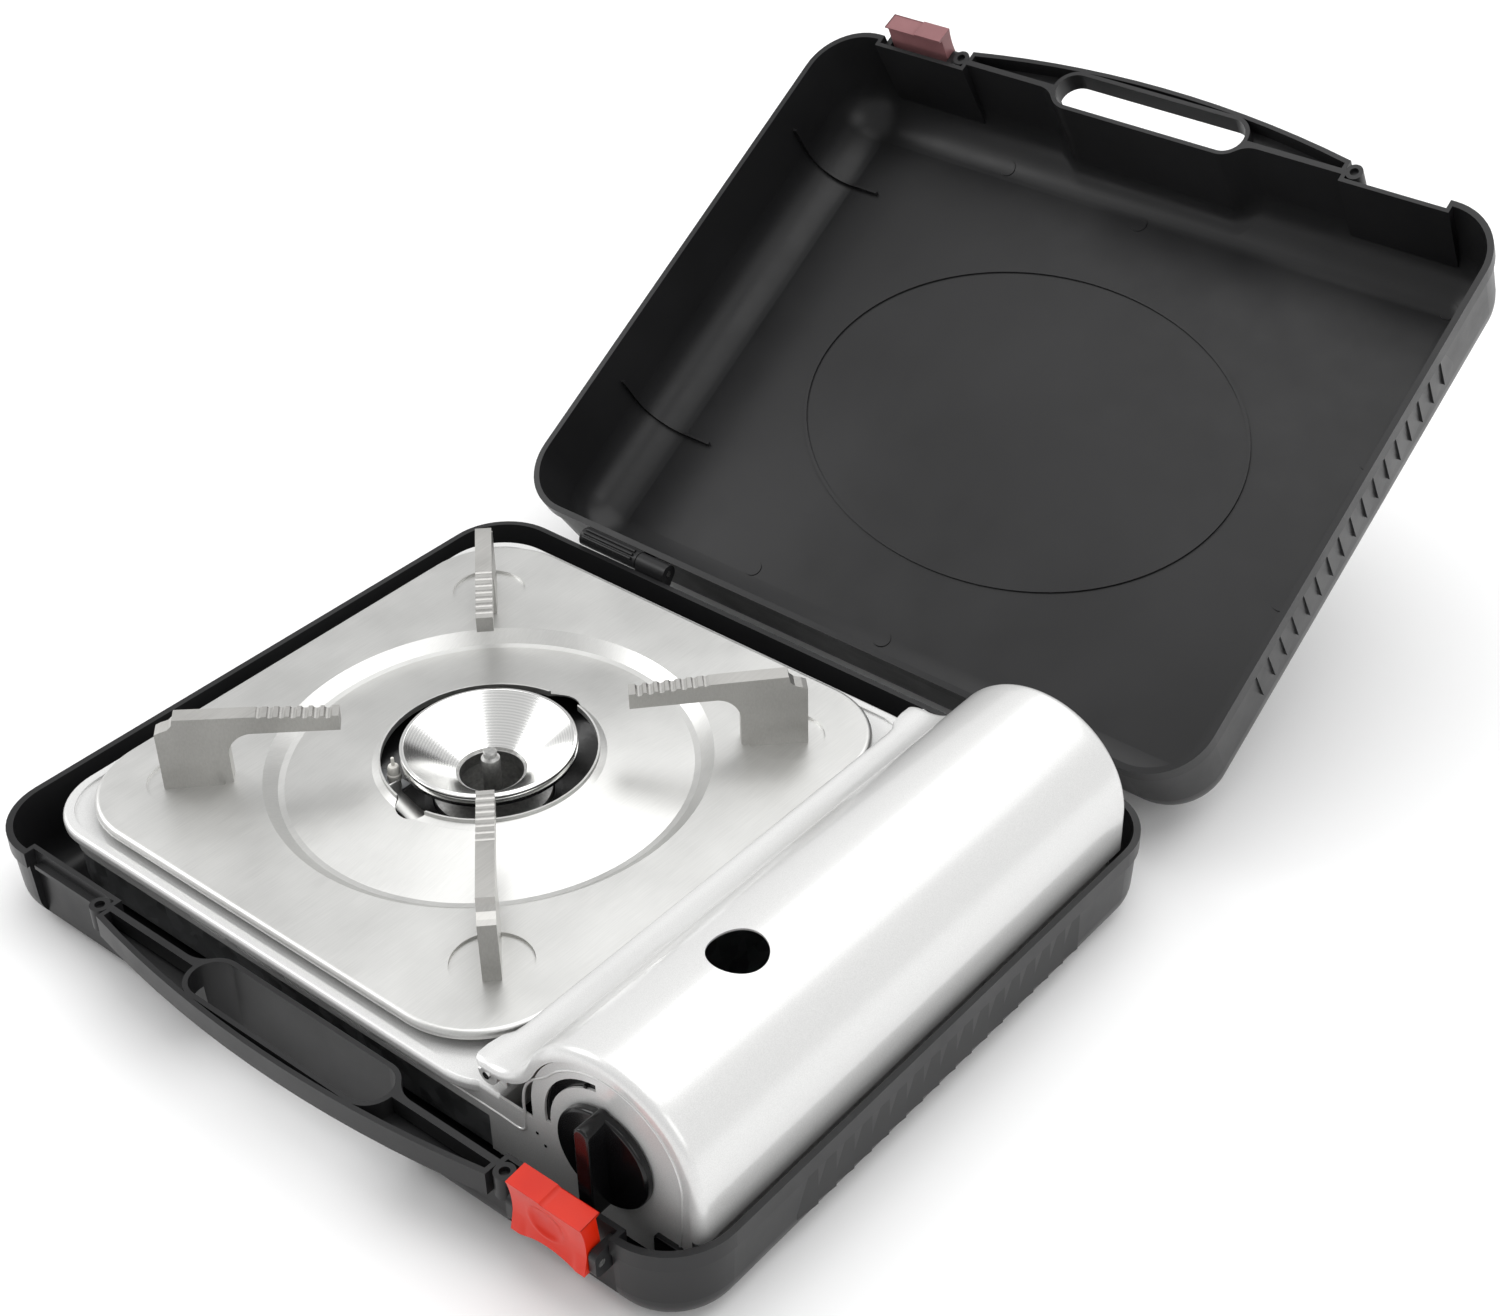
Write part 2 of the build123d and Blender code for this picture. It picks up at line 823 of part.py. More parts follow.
with BuildPart() as stove_feet:
    with BuildSketch(Plane.XY.offset(case_floor)):
        with Locations(*foot_places):
            Circle(foot_radius)
    extrude(amount=foot_height, taper=-foot_taper)
    with BuildSketch(Plane.XY.offset(pan_level)):
        with Locations(*foot_places):
            Circle(foot_stem_radius)
    extrude(amount=sheet)
    with BuildSketch(Plane.XY.offset(pan_level + sheet)):
        with Locations(*foot_places):
            Circle(foot_head_radius)
    extrude(amount=foot_head)
stove_feet.part.label = "stove_feet"
export_step(stove_feet.part, "parts/stove_feet.step")

arch_radius = cover_radius - cover_flange_width - panel_gap
panel_lower = seam_level - panel_skirt


def arch_panel(face_y):
    """End panel of the canister bay: straight foot with an arched head under the cover."""
    with BuildPart() as panel:
        with BuildSketch(Plane(origin=(0, face_y, 0), x_dir=(1, 0, 0), z_dir=(0, -1, 0))):
            with Locations((cover_x, cover_level)):
                Circle(arch_radius)
            with Locations(((bay_left + side_right - side_corner) / 2, (panel_lower + lip_level) / 2)):
                Rectangle(side_right - side_corner - bay_left, lip_level - panel_lower)
            with Locations((cover_x, (panel_lower + cover_level) / 2)):
                Rectangle(2 * arch_radius, cover_level - panel_lower)
            with Locations((cover_x, panel_lower - arch_radius)):
                Rectangle(4 * arch_radius, 2 * arch_radius, mode=Mode.SUBTRACT)
        extrude(amount=sheet)
    return panel.part


with BuildPart() as body_shell:
    with BuildSketch(Plane.XY.offset(lip_foot)):
        with Locations(((main_left + main_right) / 2, 0)):
            RectangleRounded(
                main_right - main_left + 2 * lip_reach, 2 * (main_half + lip_reach), main_corner + lip_reach
            )
        with Locations((main_right - main_corner / 2, 0)):
            Rectangle(main_corner, 2 * main_half)
        with Locations((main_right + main_corner / 2, 0)):
            Rectangle(main_corner, 3 * main_half, mode=Mode.SUBTRACT)
    extrude(amount=lip_level - lip_foot)
    lip_faces = body_shell.faces().sort_by(Axis.Z)
    fillet(lip_faces[0].edges() + lip_faces[-1].edges(), lip_radius)
    with BuildSketch(Plane.XY.offset(seam_level)):
        with Locations(((main_left + main_right) / 2, 0)):
            RectangleRounded(main_right - main_left, 2 * main_half, main_corner)
        with Locations((main_right - main_corner / 2, 0)):
            Rectangle(main_corner, 2 * main_half)
    extrude(amount=lip_level - lip_radius - seam_level)
    with BuildSketch(Plane.XY.offset(deck_level)):
        with Locations(((main_left - lip_reach + main_right) / 2, 0)):
            RectangleRounded(
                main_right - main_left + lip_reach - 2 * lip_width,
                2 * (main_half + lip_reach - lip_width),
                main_corner + lip_reach - lip_width,
            )
    extrude(amount=lip_level - deck_level, mode=Mode.SUBTRACT)
    with BuildSketch(Plane.XY.offset(seam_level)):
        with Locations(((main_left + main_right) / 2, 0)):
            RectangleRounded(
                main_right - main_left - 2 * sheet, 2 * (main_half - sheet), main_corner - sheet
            )
        with Locations((main_right - sheet - main_corner / 2, 0)):
            Rectangle(main_corner, 2 * (main_half - sheet))
    extrude(amount=deck_level - sheet - seam_level, mode=Mode.SUBTRACT)
    with BuildSketch(Plane.XY.offset(seam_level)):
        with Locations((main_right, 0)):
            Rectangle(4 * sheet, 2 * shield_half)
    extrude(amount=pipe_room, mode=Mode.SUBTRACT)
    with BuildSketch(Plane.XY.offset(deck_level - 2 * sheet)):
        with Locations((burner_x, 0)):
            Circle(deck_opening_radius)
    extrude(amount=3 * sheet, mode=Mode.SUBTRACT)
    with BuildSketch(Plane.XY.offset(deck_level - sheet / 2)):
        with Locations((burner_x, 0)):
            Circle(recess_foot_radius - seat_ring_in)
            Circle(recess_foot_radius - seat_ring_in - seat_ring_width, mode=Mode.SUBTRACT)
    extrude(amount=plate_level - recess_depth - plate_sheet - seat_ring_gap - deck_level + sheet / 2)
    with BuildSketch(Plane.XY.offset(panel_lower)):
        with Locations(((side_left + side_right) / 2, 0)):
            RectangleRounded(side_right - side_left, 2 * main_half, side_corner)
            RectangleRounded(
                side_right - side_left - 2 * sheet,
                2 * (main_half - sheet),
                side_corner - sheet,
                mode=Mode.SUBTRACT,
            )
        with Locations(((side_left + ring_from) / 2, 0)):
            Rectangle(ring_from - side_left, 4 * main_half, mode=Mode.SUBTRACT)
    extrude(amount=side_wall_level - panel_lower)
    add(arch_panel(-main_half + sheet))
    add(arch_panel(main_half))
    for side in (-1, 1):
        with BuildSketch(Plane(origin=(0, side * ear_middle, 0), x_dir=(1, 0, 0), z_dir=(0, -1, 0))):
            with Locations((cover_hinge_x, cover_hinge_level)):
                Circle(cover_lobe_radius)
            with Locations((cover_hinge_x, (deck_level + cover_hinge_level) / 2)):
                Rectangle(2 * cover_lobe_radius, cover_hinge_level - deck_level)
            with Locations((cover_hinge_x, cover_hinge_level)):
                Circle(cover_pin_radius, mode=Mode.SUBTRACT)
        extrude(amount=ear_sheet / 2, both=True)
    with BuildSketch(Plane(origin=(0, -main_half, 0), x_dir=(1, 0, 0), z_dir=(0, -1, 0))):
        with Locations((knob_x, knob_level)):
            Circle(shaft_radius + shaft_clearance)
    extrude(amount=-sheet * 2, mode=Mode.SUBTRACT)
    with BuildSketch(Plane(origin=(0, -main_half, 0), x_dir=(1, 0, 0), z_dir=(0, -1, 0))):
        with Locations((knob_x, knob_level)):
            Circle(crescent_radius)
        with Locations((knob_x + crescent_shift, knob_level - crescent_shift)):
            Circle(crescent_radius, mode=Mode.SUBTRACT)
        with Locations((knob_x - crescent_trim + crescent_radius, knob_level)):
            Rectangle(2 * crescent_radius, 4 * crescent_radius, mode=Mode.SUBTRACT)
        with Locations((knob_x, knob_level - crescent_trim - crescent_radius)):
            Rectangle(4 * crescent_radius, 2 * crescent_radius, mode=Mode.SUBTRACT)
    extrude(amount=-sheet * 2, mode=Mode.SUBTRACT)
    with BuildSketch(Plane(origin=(0, -main_half, 0), x_dir=(1, 0, 0), z_dir=(0, -1, 0))):
        with Locations(*[(vent_start + index * vent_pitch, vent_level) for index in range(vent_count)]):
            SlotOverall(vent_length, vent_height)
    extrude(amount=-2 * main_half, mode=Mode.SUBTRACT)
body_shell.part.label = "body_shell"
export_step(body_shell.part, "parts/body_shell.step")

with BuildPart() as cover_catch:
    with BuildSketch(Plane(origin=(0, -main_half, 0), x_dir=(1, 0, 0), z_dir=(0, -1, 0))):
        with Locations((catch_x, catch_level)):
            RectangleRounded(catch_width, catch_height, catch_corner)
    extrude(amount=catch_thickness)
    fillet(cover_catch.faces().sort_by(Axis.Y)[0].edges(), catch_edge)
cover_catch.part.label = "cover_catch"
export_step(cover_catch.part, "parts/cover_catch.step")

pin_length = cover_half - ear_middle + ear_sheet / 2
with BuildPart() as cover_hinge_pins:
    for side in (-1, 1):
        middle = side * (cover_half - pin_length / 2)
        with BuildSketch(Plane(origin=(0, middle, 0), x_dir=(1, 0, 0), z_dir=(0, -1, 0))):
            with Locations((cover_hinge_x, cover_hinge_level)):
                Circle(cover_pin_radius)
        extrude(amount=pin_length / 2, both=True)
cover_hinge_pins.part.label = "cover_hinge_pins"
export_step(cover_hinge_pins.part, "parts/cover_hinge_pins.step")

shield_foot = pan_level + sheet
shield_top = deck_level - sheet
with BuildPart() as heat_shield:
    with BuildSketch(Plane(origin=(0, -shield_half, 0), x_dir=(1, 0, 0), z_dir=(0, -1, 0))):
        with BuildLine():
            Polyline(
                (shield_x - shield_flange, shield_foot),
                (shield_x, shield_foot),
                (shield_x, shield_top),
                (shield_x - shield_flange, shield_top),
                (shield_x - shield_flange, shield_top - sheet),
                (shield_x - sheet, shield_top - sheet),
                (shield_x - sheet, shield_foot + sheet),
                (shield_x - shield_flange, shield_foot + sheet),
                close=True,
            )
        make_face()
    extrude(amount=-2 * shield_half)
    with BuildSketch(Plane(origin=(shield_x, 0, 0), x_dir=(0, 1, 0), z_dir=(1, 0, 0))):
        with Locations((pipe_y, pipe_level)):
            Circle(pipe_hole_radius)
        with Locations((0, shield_slot_level)):
            with GridLocations(shield_slot_pitch, 1, shield_slot_count, 1):
                SlotOverall(shield_slot_length, shield_slot_height)
    extrude(amount=-2 * sheet, mode=Mode.SUBTRACT)
heat_shield.part.label = "heat_shield"
export_step(heat_shield.part, "parts/heat_shield.step")

with BuildPart() as canister_cradle:
    with BuildSketch(Plane.XY.offset(pan_level + sheet)):
        with Locations((canister_x, (cradle_front + cradle_back) / 2)):
            Rectangle(cradle_width, cradle_back - cradle_front)
    extrude(amount=sheet)
    for place in (cradle_front, cradle_back - cradle_sheet):
        with BuildSketch(Plane(origin=(0, place, 0), x_dir=(1, 0, 0), z_dir=(0, -1, 0))):
            with Locations((canister_x, pan_level + sheet + cradle_height / 2)):
                Rectangle(cradle_width, cradle_height)
            with Locations((canister_x, canister_level)):
                Circle(canister_radius + cradle_gap, mode=Mode.SUBTRACT)
        extrude(amount=-cradle_sheet)
canister_cradle.part.label = "canister_cradle"
export_step(canister_cradle.part, "parts/canister_cradle.step")

# ---- Gas train ----
front_plane = Plane(origin=(0, -regulator_front, 0), x_dir=(1, 0, 0), z_dir=(0, -1, 0))
with BuildPart() as regulator:
    with BuildSketch(front_plane):
        with Locations((knob_x, knob_level)):
            Circle(regulator_radius)
    extrude(amount=-(regulator_front - regulator_back))
    fillet(regulator.faces().sort_by(Axis.Y)[0].edges(), regulator_round)
    with BuildSketch(front_plane):
        with Locations((knob_x, knob_level)):
            Circle(boss_radius)
    extrude(amount=regulator_boss)
    with BuildSketch(front_plane.offset(-pipe_boss_from)):
        with Locations((knob_x - regulator_radius / 2, pipe_start_level)):
            Rectangle(regulator_radius + 2 * pipe_boss_reach, 2 * pipe_boss_radius)
    extrude(amount=-2 * pipe_boss_radius)
    with BuildSketch(front_plane.offset(regulator_boss)):
        with Locations((knob_x, knob_level)):
            Circle(shaft_radius + running_clearance)
    extrude(amount=-(regulator_boss + shaft_depth), mode=Mode.SUBTRACT)
    with BuildSketch(front_plane.offset(-regulator_foot_back)):
        with Locations((knob_x, (pan_level + sheet + knob_level - regulator_radius / 2) / 2)):
            Rectangle(regulator_foot_width, knob_level - regulator_radius / 2 - pan_level - sheet)
    extrude(amount=-regulator_foot_sheet)
regulator.part.label = "regulator"
export_step(regulator.part, "parts/regulator.step")

socket_back = front_plane.offset(-(regulator_front - regulator_back))
socket_face = socket_back.offset(-(socket_thickness - socket_bore_depth))
with BuildPart() as canister_socket:
    with BuildSketch(socket_back):
        with Locations((canister_x, canister_level)):
            Circle(socket_radius)
    extrude(amount=-socket_thickness)
    with BuildSketch(socket_face):
        with Locations((canister_x, canister_level)):
            Circle(socket_bore)
    extrude(amount=-socket_bore_depth, mode=Mode.SUBTRACT)
    with BuildSketch(socket_face):
        with Locations((canister_x, canister_level)):
            Circle(socket_well)
            Circle(socket_nozzle, mode=Mode.SUBTRACT)
    extrude(amount=socket_well_depth, mode=Mode.SUBTRACT)
    with BuildSketch(socket_face):
        with Locations((canister_x, canister_level)):
            Circle(socket_nozzle)
    extrude(amount=socket_nozzle_drop, mode=Mode.SUBTRACT)
    with BuildSketch(socket_back.offset(-socket_thickness)):
        with Locations((canister_x, canister_level + socket_bore + socket_key_gap + socket_key_height / 2)):
            Rectangle(socket_key_width, socket_key_height)
    extrude(amount=-socket_key_reach)
canister_socket.part.label = "canister_socket"
export_step(canister_socket.part, "parts/canister_socket.step")

igniter_plane = front_plane.offset(main_half - pan_inset - sheet - regulator_front)
with BuildPart() as igniter:
    with BuildSketch(igniter_plane):
        with Locations((igniter_x, igniter_level)):
            RectangleRounded(igniter_width, igniter_height, igniter_corner)
    extrude(amount=-igniter_length)
    with BuildSketch(igniter_plane.offset(-igniter_length)):
        with Locations((igniter_x, igniter_level)):
            Circle(igniter_nose_radius)
    extrude(amount=-igniter_nose)
igniter.part.label = "igniter"
export_step(igniter.part, "parts/igniter.step")

with BuildPart() as knob_shaft:
    with BuildSketch(front_plane.offset(-shaft_depth)):
        with Locations((knob_x, knob_level)):
            Circle(shaft_radius)
    extrude(amount=shaft_depth + knob_back - regulator_front)
knob_shaft.part.label = "knob_shaft"
export_step(knob_shaft.part, "parts/knob_shaft.step")

knob_plane = Plane(origin=(0, -knob_back, 0), x_dir=(1, 0, 0), z_dir=(0, -1, 0))
with BuildPart() as knob:
    with BuildSketch(knob_plane):
        with Locations((knob_x, knob_level)):
            Circle(knob_radius)
    extrude(amount=knob_disc)
    fillet(knob.faces().sort_by(Axis.Y)[0].edges(), knob_rim_round)
    with BuildSketch(knob_plane):
        with Locations((knob_x, knob_level)):
            SlotOverall(2 * wing_half, wing_thickness, rotation=90)
    extrude(amount=knob_reach - knob_back)
    fillet(knob.faces().sort_by(Axis.Y)[0].edges(), wing_round)
knob.part.label = "knob"
export_step(knob.part, "parts/knob.step")

run = Vector(burner_x - jet_x, -jet_y, 0)
mixer_way = run.normalized()
jet = Vector(jet_x, jet_y, jet_level)
with BuildPart() as gas_pipe:
    with BuildLine() as pipe_route:
        Spline(
            (
                knob_x - regulator_radius - pipe_boss_reach,
                -regulator_front + pipe_boss_from + pipe_boss_radius,
                pipe_start_level,
            ),
            (shield_x - sheet / 2, pipe_y, pipe_level),
            tuple(jet - mixer_way * injector_length),
            tangents=((-1, 0, 0), tuple(mixer_way)),
        )
    with BuildSketch(Plane(origin=pipe_route.line @ 0, z_dir=pipe_route.line % 0)):
        Circle(pipe_radius)
    sweep()
gas_pipe.part.label = "gas_pipe"
export_step(gas_pipe.part, "parts/gas_pipe.step")

with BuildPart() as injector:
    with BuildSketch(Plane(origin=tuple(jet - mixer_way * injector_length), z_dir=mixer_way)):
        RegularPolygon(injector_radius, 6)
    extrude(amount=injector_length)
    with BuildSketch(Plane(origin=tuple(jet - mixer_way * injector_length / 2), z_dir=mixer_way)):
        Circle(injector_bore)
    extrude(amount=injector_length, mode=Mode.SUBTRACT)
injector.part.label = "injector"
export_step(injector.part, "parts/injector.step")

mixer_start = jet + mixer_way * mixer_gap
mixer_length = run.length - mixer_gap - base_radius
mixer_neck = Plane(
    origin=tuple(mixer_start + mixer_way * mixer_flare), x_dir=(0, 0, 1), z_dir=mixer_way
)
with BuildPart() as mixer_tube:
    with BuildSketch(Plane(origin=tuple(mixer_start), x_dir=(0, 0, 1), z_dir=mixer_way)):
        Circle(mixer_mouth_radius)
    with BuildSketch(mixer_neck):
        Circle(mixer_radius)
    loft()
    with BuildSketch(mixer_neck):
        Circle(mixer_radius)
    extrude(amount=mixer_length - mixer_flare)
    ends = mixer_tube.faces().filter_by(GeomType.PLANE).sort_by(Axis(tuple(jet), tuple(mixer_way)))
    offset(amount=-sheet, openings=[ends[0], ends[-1]])
mixer_tube.part.label = "mixer_tube"
export_step(mixer_tube.part, "parts/mixer_tube.step")

# ---- Burner ----
burner_section = Plane(origin=(burner_x, 0, 0), x_dir=(1, 0, 0), z_dir=(0, -1, 0))
burner_axis = Axis((burner_x, 0, 0), (0, 0, 1))
with BuildPart() as burner_base:
    with BuildSketch(burner_section):
        with BuildLine():
            Polyline(
                (0, base_level),
                (base_radius - base_wall, base_level),
                (base_radius, base_level + base_wall),
                (base_radius, base_top),
                (neck_radius + neck_wall, neck_level),
                (neck_radius + neck_wall, neck_top),
                (neck_radius, neck_top),
                (neck_radius, neck_level - neck_wall),
                (base_radius - base_wall, base_top - neck_wall),
                (base_radius - base_wall, base_level + base_wall),
                (0, base_level + base_wall),
                close=True,
            )
        make_face()
    revolve(axis=burner_axis)
    with BuildSketch(Plane(origin=tuple(jet), x_dir=(0, 0, 1), z_dir=mixer_way)):
        Circle(mixer_radius - sheet)
    extrude(amount=run.length - base_radius / 2, mode=Mode.SUBTRACT)
burner_base.part.label = "burner_base"
export_step(burner_base.part, "parts/burner_base.step")

with BuildPart() as burner_bell:
    with BuildSketch(burner_section):
        with BuildLine():
            Polyline(
                (throat_radius, throat_level),
                (bell_radius - bell_rim_width, bell_level),
                (bell_radius, bell_level - bell_rim_bevel),
                (bell_radius, bell_level - bell_ring_height),
                (bell_radius - bell_groove, bell_level - bell_ring_height - bell_groove_slope),
                (bell_radius - bell_groove, bell_level - bell_ring_pitch + bell_groove_slope),
                (bell_radius, bell_level - bell_ring_pitch),
                (bell_radius, bell_level - bell_ring_pitch - bell_ring_height),
                (bell_socket_radius, neck_top + bell_seat_gap),
                (bell_socket_radius, neck_level + bell_seat_gap),
                (neck_radius + neck_wall + bell_fit, neck_level + bell_seat_gap),
                (neck_radius + neck_wall + bell_fit, neck_top),
                (throat_radius, neck_top),
                close=True,
            )
        make_face()
    revolve(axis=burner_axis)
    fillet(burner_bell.edges().filter_by(GeomType.CIRCLE).sort_by(Axis.Z)[-2:], bell_rim_round)
burner_bell.part.label = "burner_bell"
export_step(burner_bell.part, "parts/burner_bell.step")

with BuildPart() as burner_post:
    with BuildSketch(burner_section):
        with BuildLine():
            Polyline(
                (0, base_level + base_wall),
                (post_radius + post_foot, base_level + base_wall),
                (post_radius + post_foot, post_foot_top - post_foot),
                (post_radius, post_foot_top),
                (post_radius, post_level - post_cap_height - post_step),
                (post_cap_radius, post_level - post_cap_height),
                (post_cap_radius, post_level - post_bevel),
                (post_cap_radius - post_bevel, post_level),
                (0, post_level),
                close=True,
            )
        make_face()
    revolve(axis=burner_axis)
burner_post.part.label = "burner_post"
export_step(burner_post.part, "parts/burner_post.step")

with BuildPart() as burner_bowl:
    with BuildSketch(burner_section):
        with BuildLine():
            Polyline(
                (deck_opening_radius + bowl_flange, bowl_level),
                (bowl_slope_radius, bowl_level),
                (base_radius + bowl_gap + bowl_collar, bowl_low),
                (base_radius + bowl_gap, bowl_low),
                (base_radius + bowl_gap, bowl_low - sheet),
                (base_radius + bowl_gap + bowl_collar + bowl_bend, bowl_low - sheet),
                (bowl_slope_radius + bowl_bend, bowl_level - sheet),
                (deck_opening_radius + bowl_flange, bowl_level - sheet),
                close=True,
            )
        make_face()
    revolve(axis=burner_axis)
    with BuildSketch(Plane(origin=tuple(jet), x_dir=(0, 0, 1), z_dir=mixer_way)):
        Circle(mixer_radius + bowl_gap)
    extrude(amount=run.length, mode=Mode.SUBTRACT)
    with BuildSketch(Plane.XY.offset(bowl_low - sheet)):
        with Locations((spark_x + spark_rod_in, spark_y)):
            Circle(spark_rod_radius + bowl_gap)
    extrude(amount=bowl_level - bowl_low + sheet, mode=Mode.SUBTRACT)
burner_bowl.part.label = "burner_bowl"
export_step(burner_bowl.part, "parts/burner_bowl.step")

with BuildPart() as burner_bracket:
    with BuildSketch(burner_section):
        with BuildLine():
            Polyline(
                (-bracket_half, shield_foot),
                (-bracket_step, shield_foot),
                (-bracket_step, base_level - sheet),
                (bracket_step, base_level - sheet),
                (bracket_step, shield_foot),
                (bracket_half, shield_foot),
                (bracket_half, shield_foot + sheet),
                (bracket_step + sheet, shield_foot + sheet),
                (bracket_step + sheet, base_level),
                (-bracket_step - sheet, base_level),
                (-bracket_step - sheet, shield_foot + sheet),
                (-bracket_half, shield_foot + sheet),
                close=True,
            )
        make_face()
    extrude(amount=bracket_width / 2, both=True)
burner_bracket.part.label = "burner_bracket"
export_step(burner_bracket.part, "parts/burner_bracket.step")

with BuildPart() as igniter_bracket:
    with BuildSketch(Plane(origin=(spark_x, spark_y, 0), x_dir=(1, 0, 0), z_dir=(0, -1, 0))):
        with BuildLine():
            Polyline(
                (-spark_half, spark_level),
                (-spark_half, spark_level - spark_plate_drop),
                (spark_foot_end, spark_level - spark_plate_drop),
                (spark_foot_end, spark_level - spark_plate_drop + sheet),
                (-spark_half + sheet, spark_level - spark_plate_drop + sheet),
                (-spark_half + sheet, spark_level),
                close=True,
            )
        make_face()
    extrude(amount=spark_width / 2, both=True)
    with BuildSketch(Plane.XY.offset(spark_level - spark_plate_drop - sheet * 2)):
        with Locations((spark_x + spark_rod_in, spark_y)):
            Circle(spark_rod_radius + running_clearance)
    extrude(amount=sheet * 4, mode=Mode.SUBTRACT)
igniter_bracket.part.label = "igniter_bracket"
export_step(igniter_bracket.part, "parts/igniter_bracket.step")

with BuildPart() as igniter_electrode:
    with BuildSketch(Plane.XY.offset(spark_foot_level)):
        with Locations((spark_x + spark_rod_in, spark_y)):
            Circle(spark_rod_radius)
    extrude(amount=spark_rod_length)
    with BuildSketch(Plane.XY.offset(spark_foot_level + spark_rod_length)):
        with Locations((spark_x + spark_rod_in, spark_y)):
            Circle(spark_wire_radius)
    extrude(amount=spark_wire_length)
igniter_electrode.part.label = "igniter_electrode"
export_step(igniter_electrode.part, "parts/igniter_electrode.step")

# ---- Drip plate ----
plate_x = burner_x
dimple_spots = [(burner_x + a * dimple_place, b * dimple_place) for a in (-1, 1) for b in (-1, 1)]
rivet_step = rivet_place / 2 ** 0.5
rivet_spots = [(burner_x + a * rivet_step, b * rivet_step) for a in (-1, 1) for b in (-1, 1)]
plate_under = plate_level - plate_sheet
cone_top = plate_level - recess_depth + opening_rise + (recess_foot_radius - opening_radius) * cone_slope
with BuildPart() as drip_plate:
    with BuildSketch(Plane.XY.offset(plate_level - plate_edge_height)):
        with Locations((plate_x, 0)):
            RectangleRounded(plate_width, plate_depth, plate_corner)
    extrude(amount=plate_edge_height)
    fillet(drip_plate.faces().sort_by(Axis.Z)[-1].edges(), plate_edge_radius)
    offset(amount=-plate_sheet, openings=drip_plate.faces().sort_by(Axis.Z)[0])
    with BuildSketch(Plane.XY.offset(plate_under)):
        with Locations((plate_x, 0)):
            Circle(recess_top_radius)
        with Locations(*dimple_spots):
            Circle(dimple_radius)
    extrude(amount=plate_sheet, mode=Mode.SUBTRACT)
    with BuildSketch(burner_section):
        with BuildLine():
            Polyline(
                (recess_top_radius + press_lap, plate_level),
                (recess_top_radius - press_round, plate_level),
                (recess_foot_radius, plate_level - recess_depth + press_rise),
                (recess_foot_radius - press_foot, plate_level - recess_depth),
                (opening_radius + collar_foot, cone_top),
                (opening_radius + plate_sheet, cone_top + collar_bend + plate_sheet),
                (opening_radius + plate_sheet, cone_top + collar_rise),
                (opening_radius, cone_top + collar_rise),
                (opening_radius, cone_top + collar_bend),
                (opening_radius + collar_foot, cone_top - plate_sheet),
                (recess_foot_radius - press_foot, plate_level - recess_depth - plate_sheet),
                (recess_foot_radius + press_shift, plate_level - recess_depth - plate_sheet + press_rise),
                (recess_top_radius - press_round + press_shift, plate_under),
                (recess_top_radius + press_lap, plate_under),
                close=True,
            )
        make_face()
    revolve(axis=burner_axis)
    with BuildSketch(Plane.XY.offset(plate_under - dimple_depth)):
        with Locations(*dimple_spots):
            Circle(dimple_radius)
    extrude(amount=plate_sheet)
    with BuildSketch(Plane.XY.offset(plate_under - dimple_depth)):
        with Locations(*dimple_spots):
            Circle(dimple_radius + press_shift)
            Circle(dimple_radius - dimple_lap, mode=Mode.SUBTRACT)
    extrude(amount=plate_sheet + dimple_depth)
    with BuildSketch(Plane.XY.offset(plate_level - recess_depth - opening_cut)):
        with Locations((plate_x, 0)):
            SlotOverall(2 * lobe_reach, lobe_width, rotation=90)
    extrude(amount=recess_depth + 4 * opening_cut, mode=Mode.SUBTRACT)
    with BuildSketch(Plane.XY.offset(plate_under - dimple_depth - plate_sheet)):
        with Locations(*rivet_spots):
            Circle(rivet_radius)
    extrude(amount=3 * plate_sheet, mode=Mode.SUBTRACT)
drip_plate.part.label = "drip_plate"
export_step(drip_plate.part, "parts/drip_plate.step")

# ---- Pan supports ----
seat_level = plate_level - dimple_depth


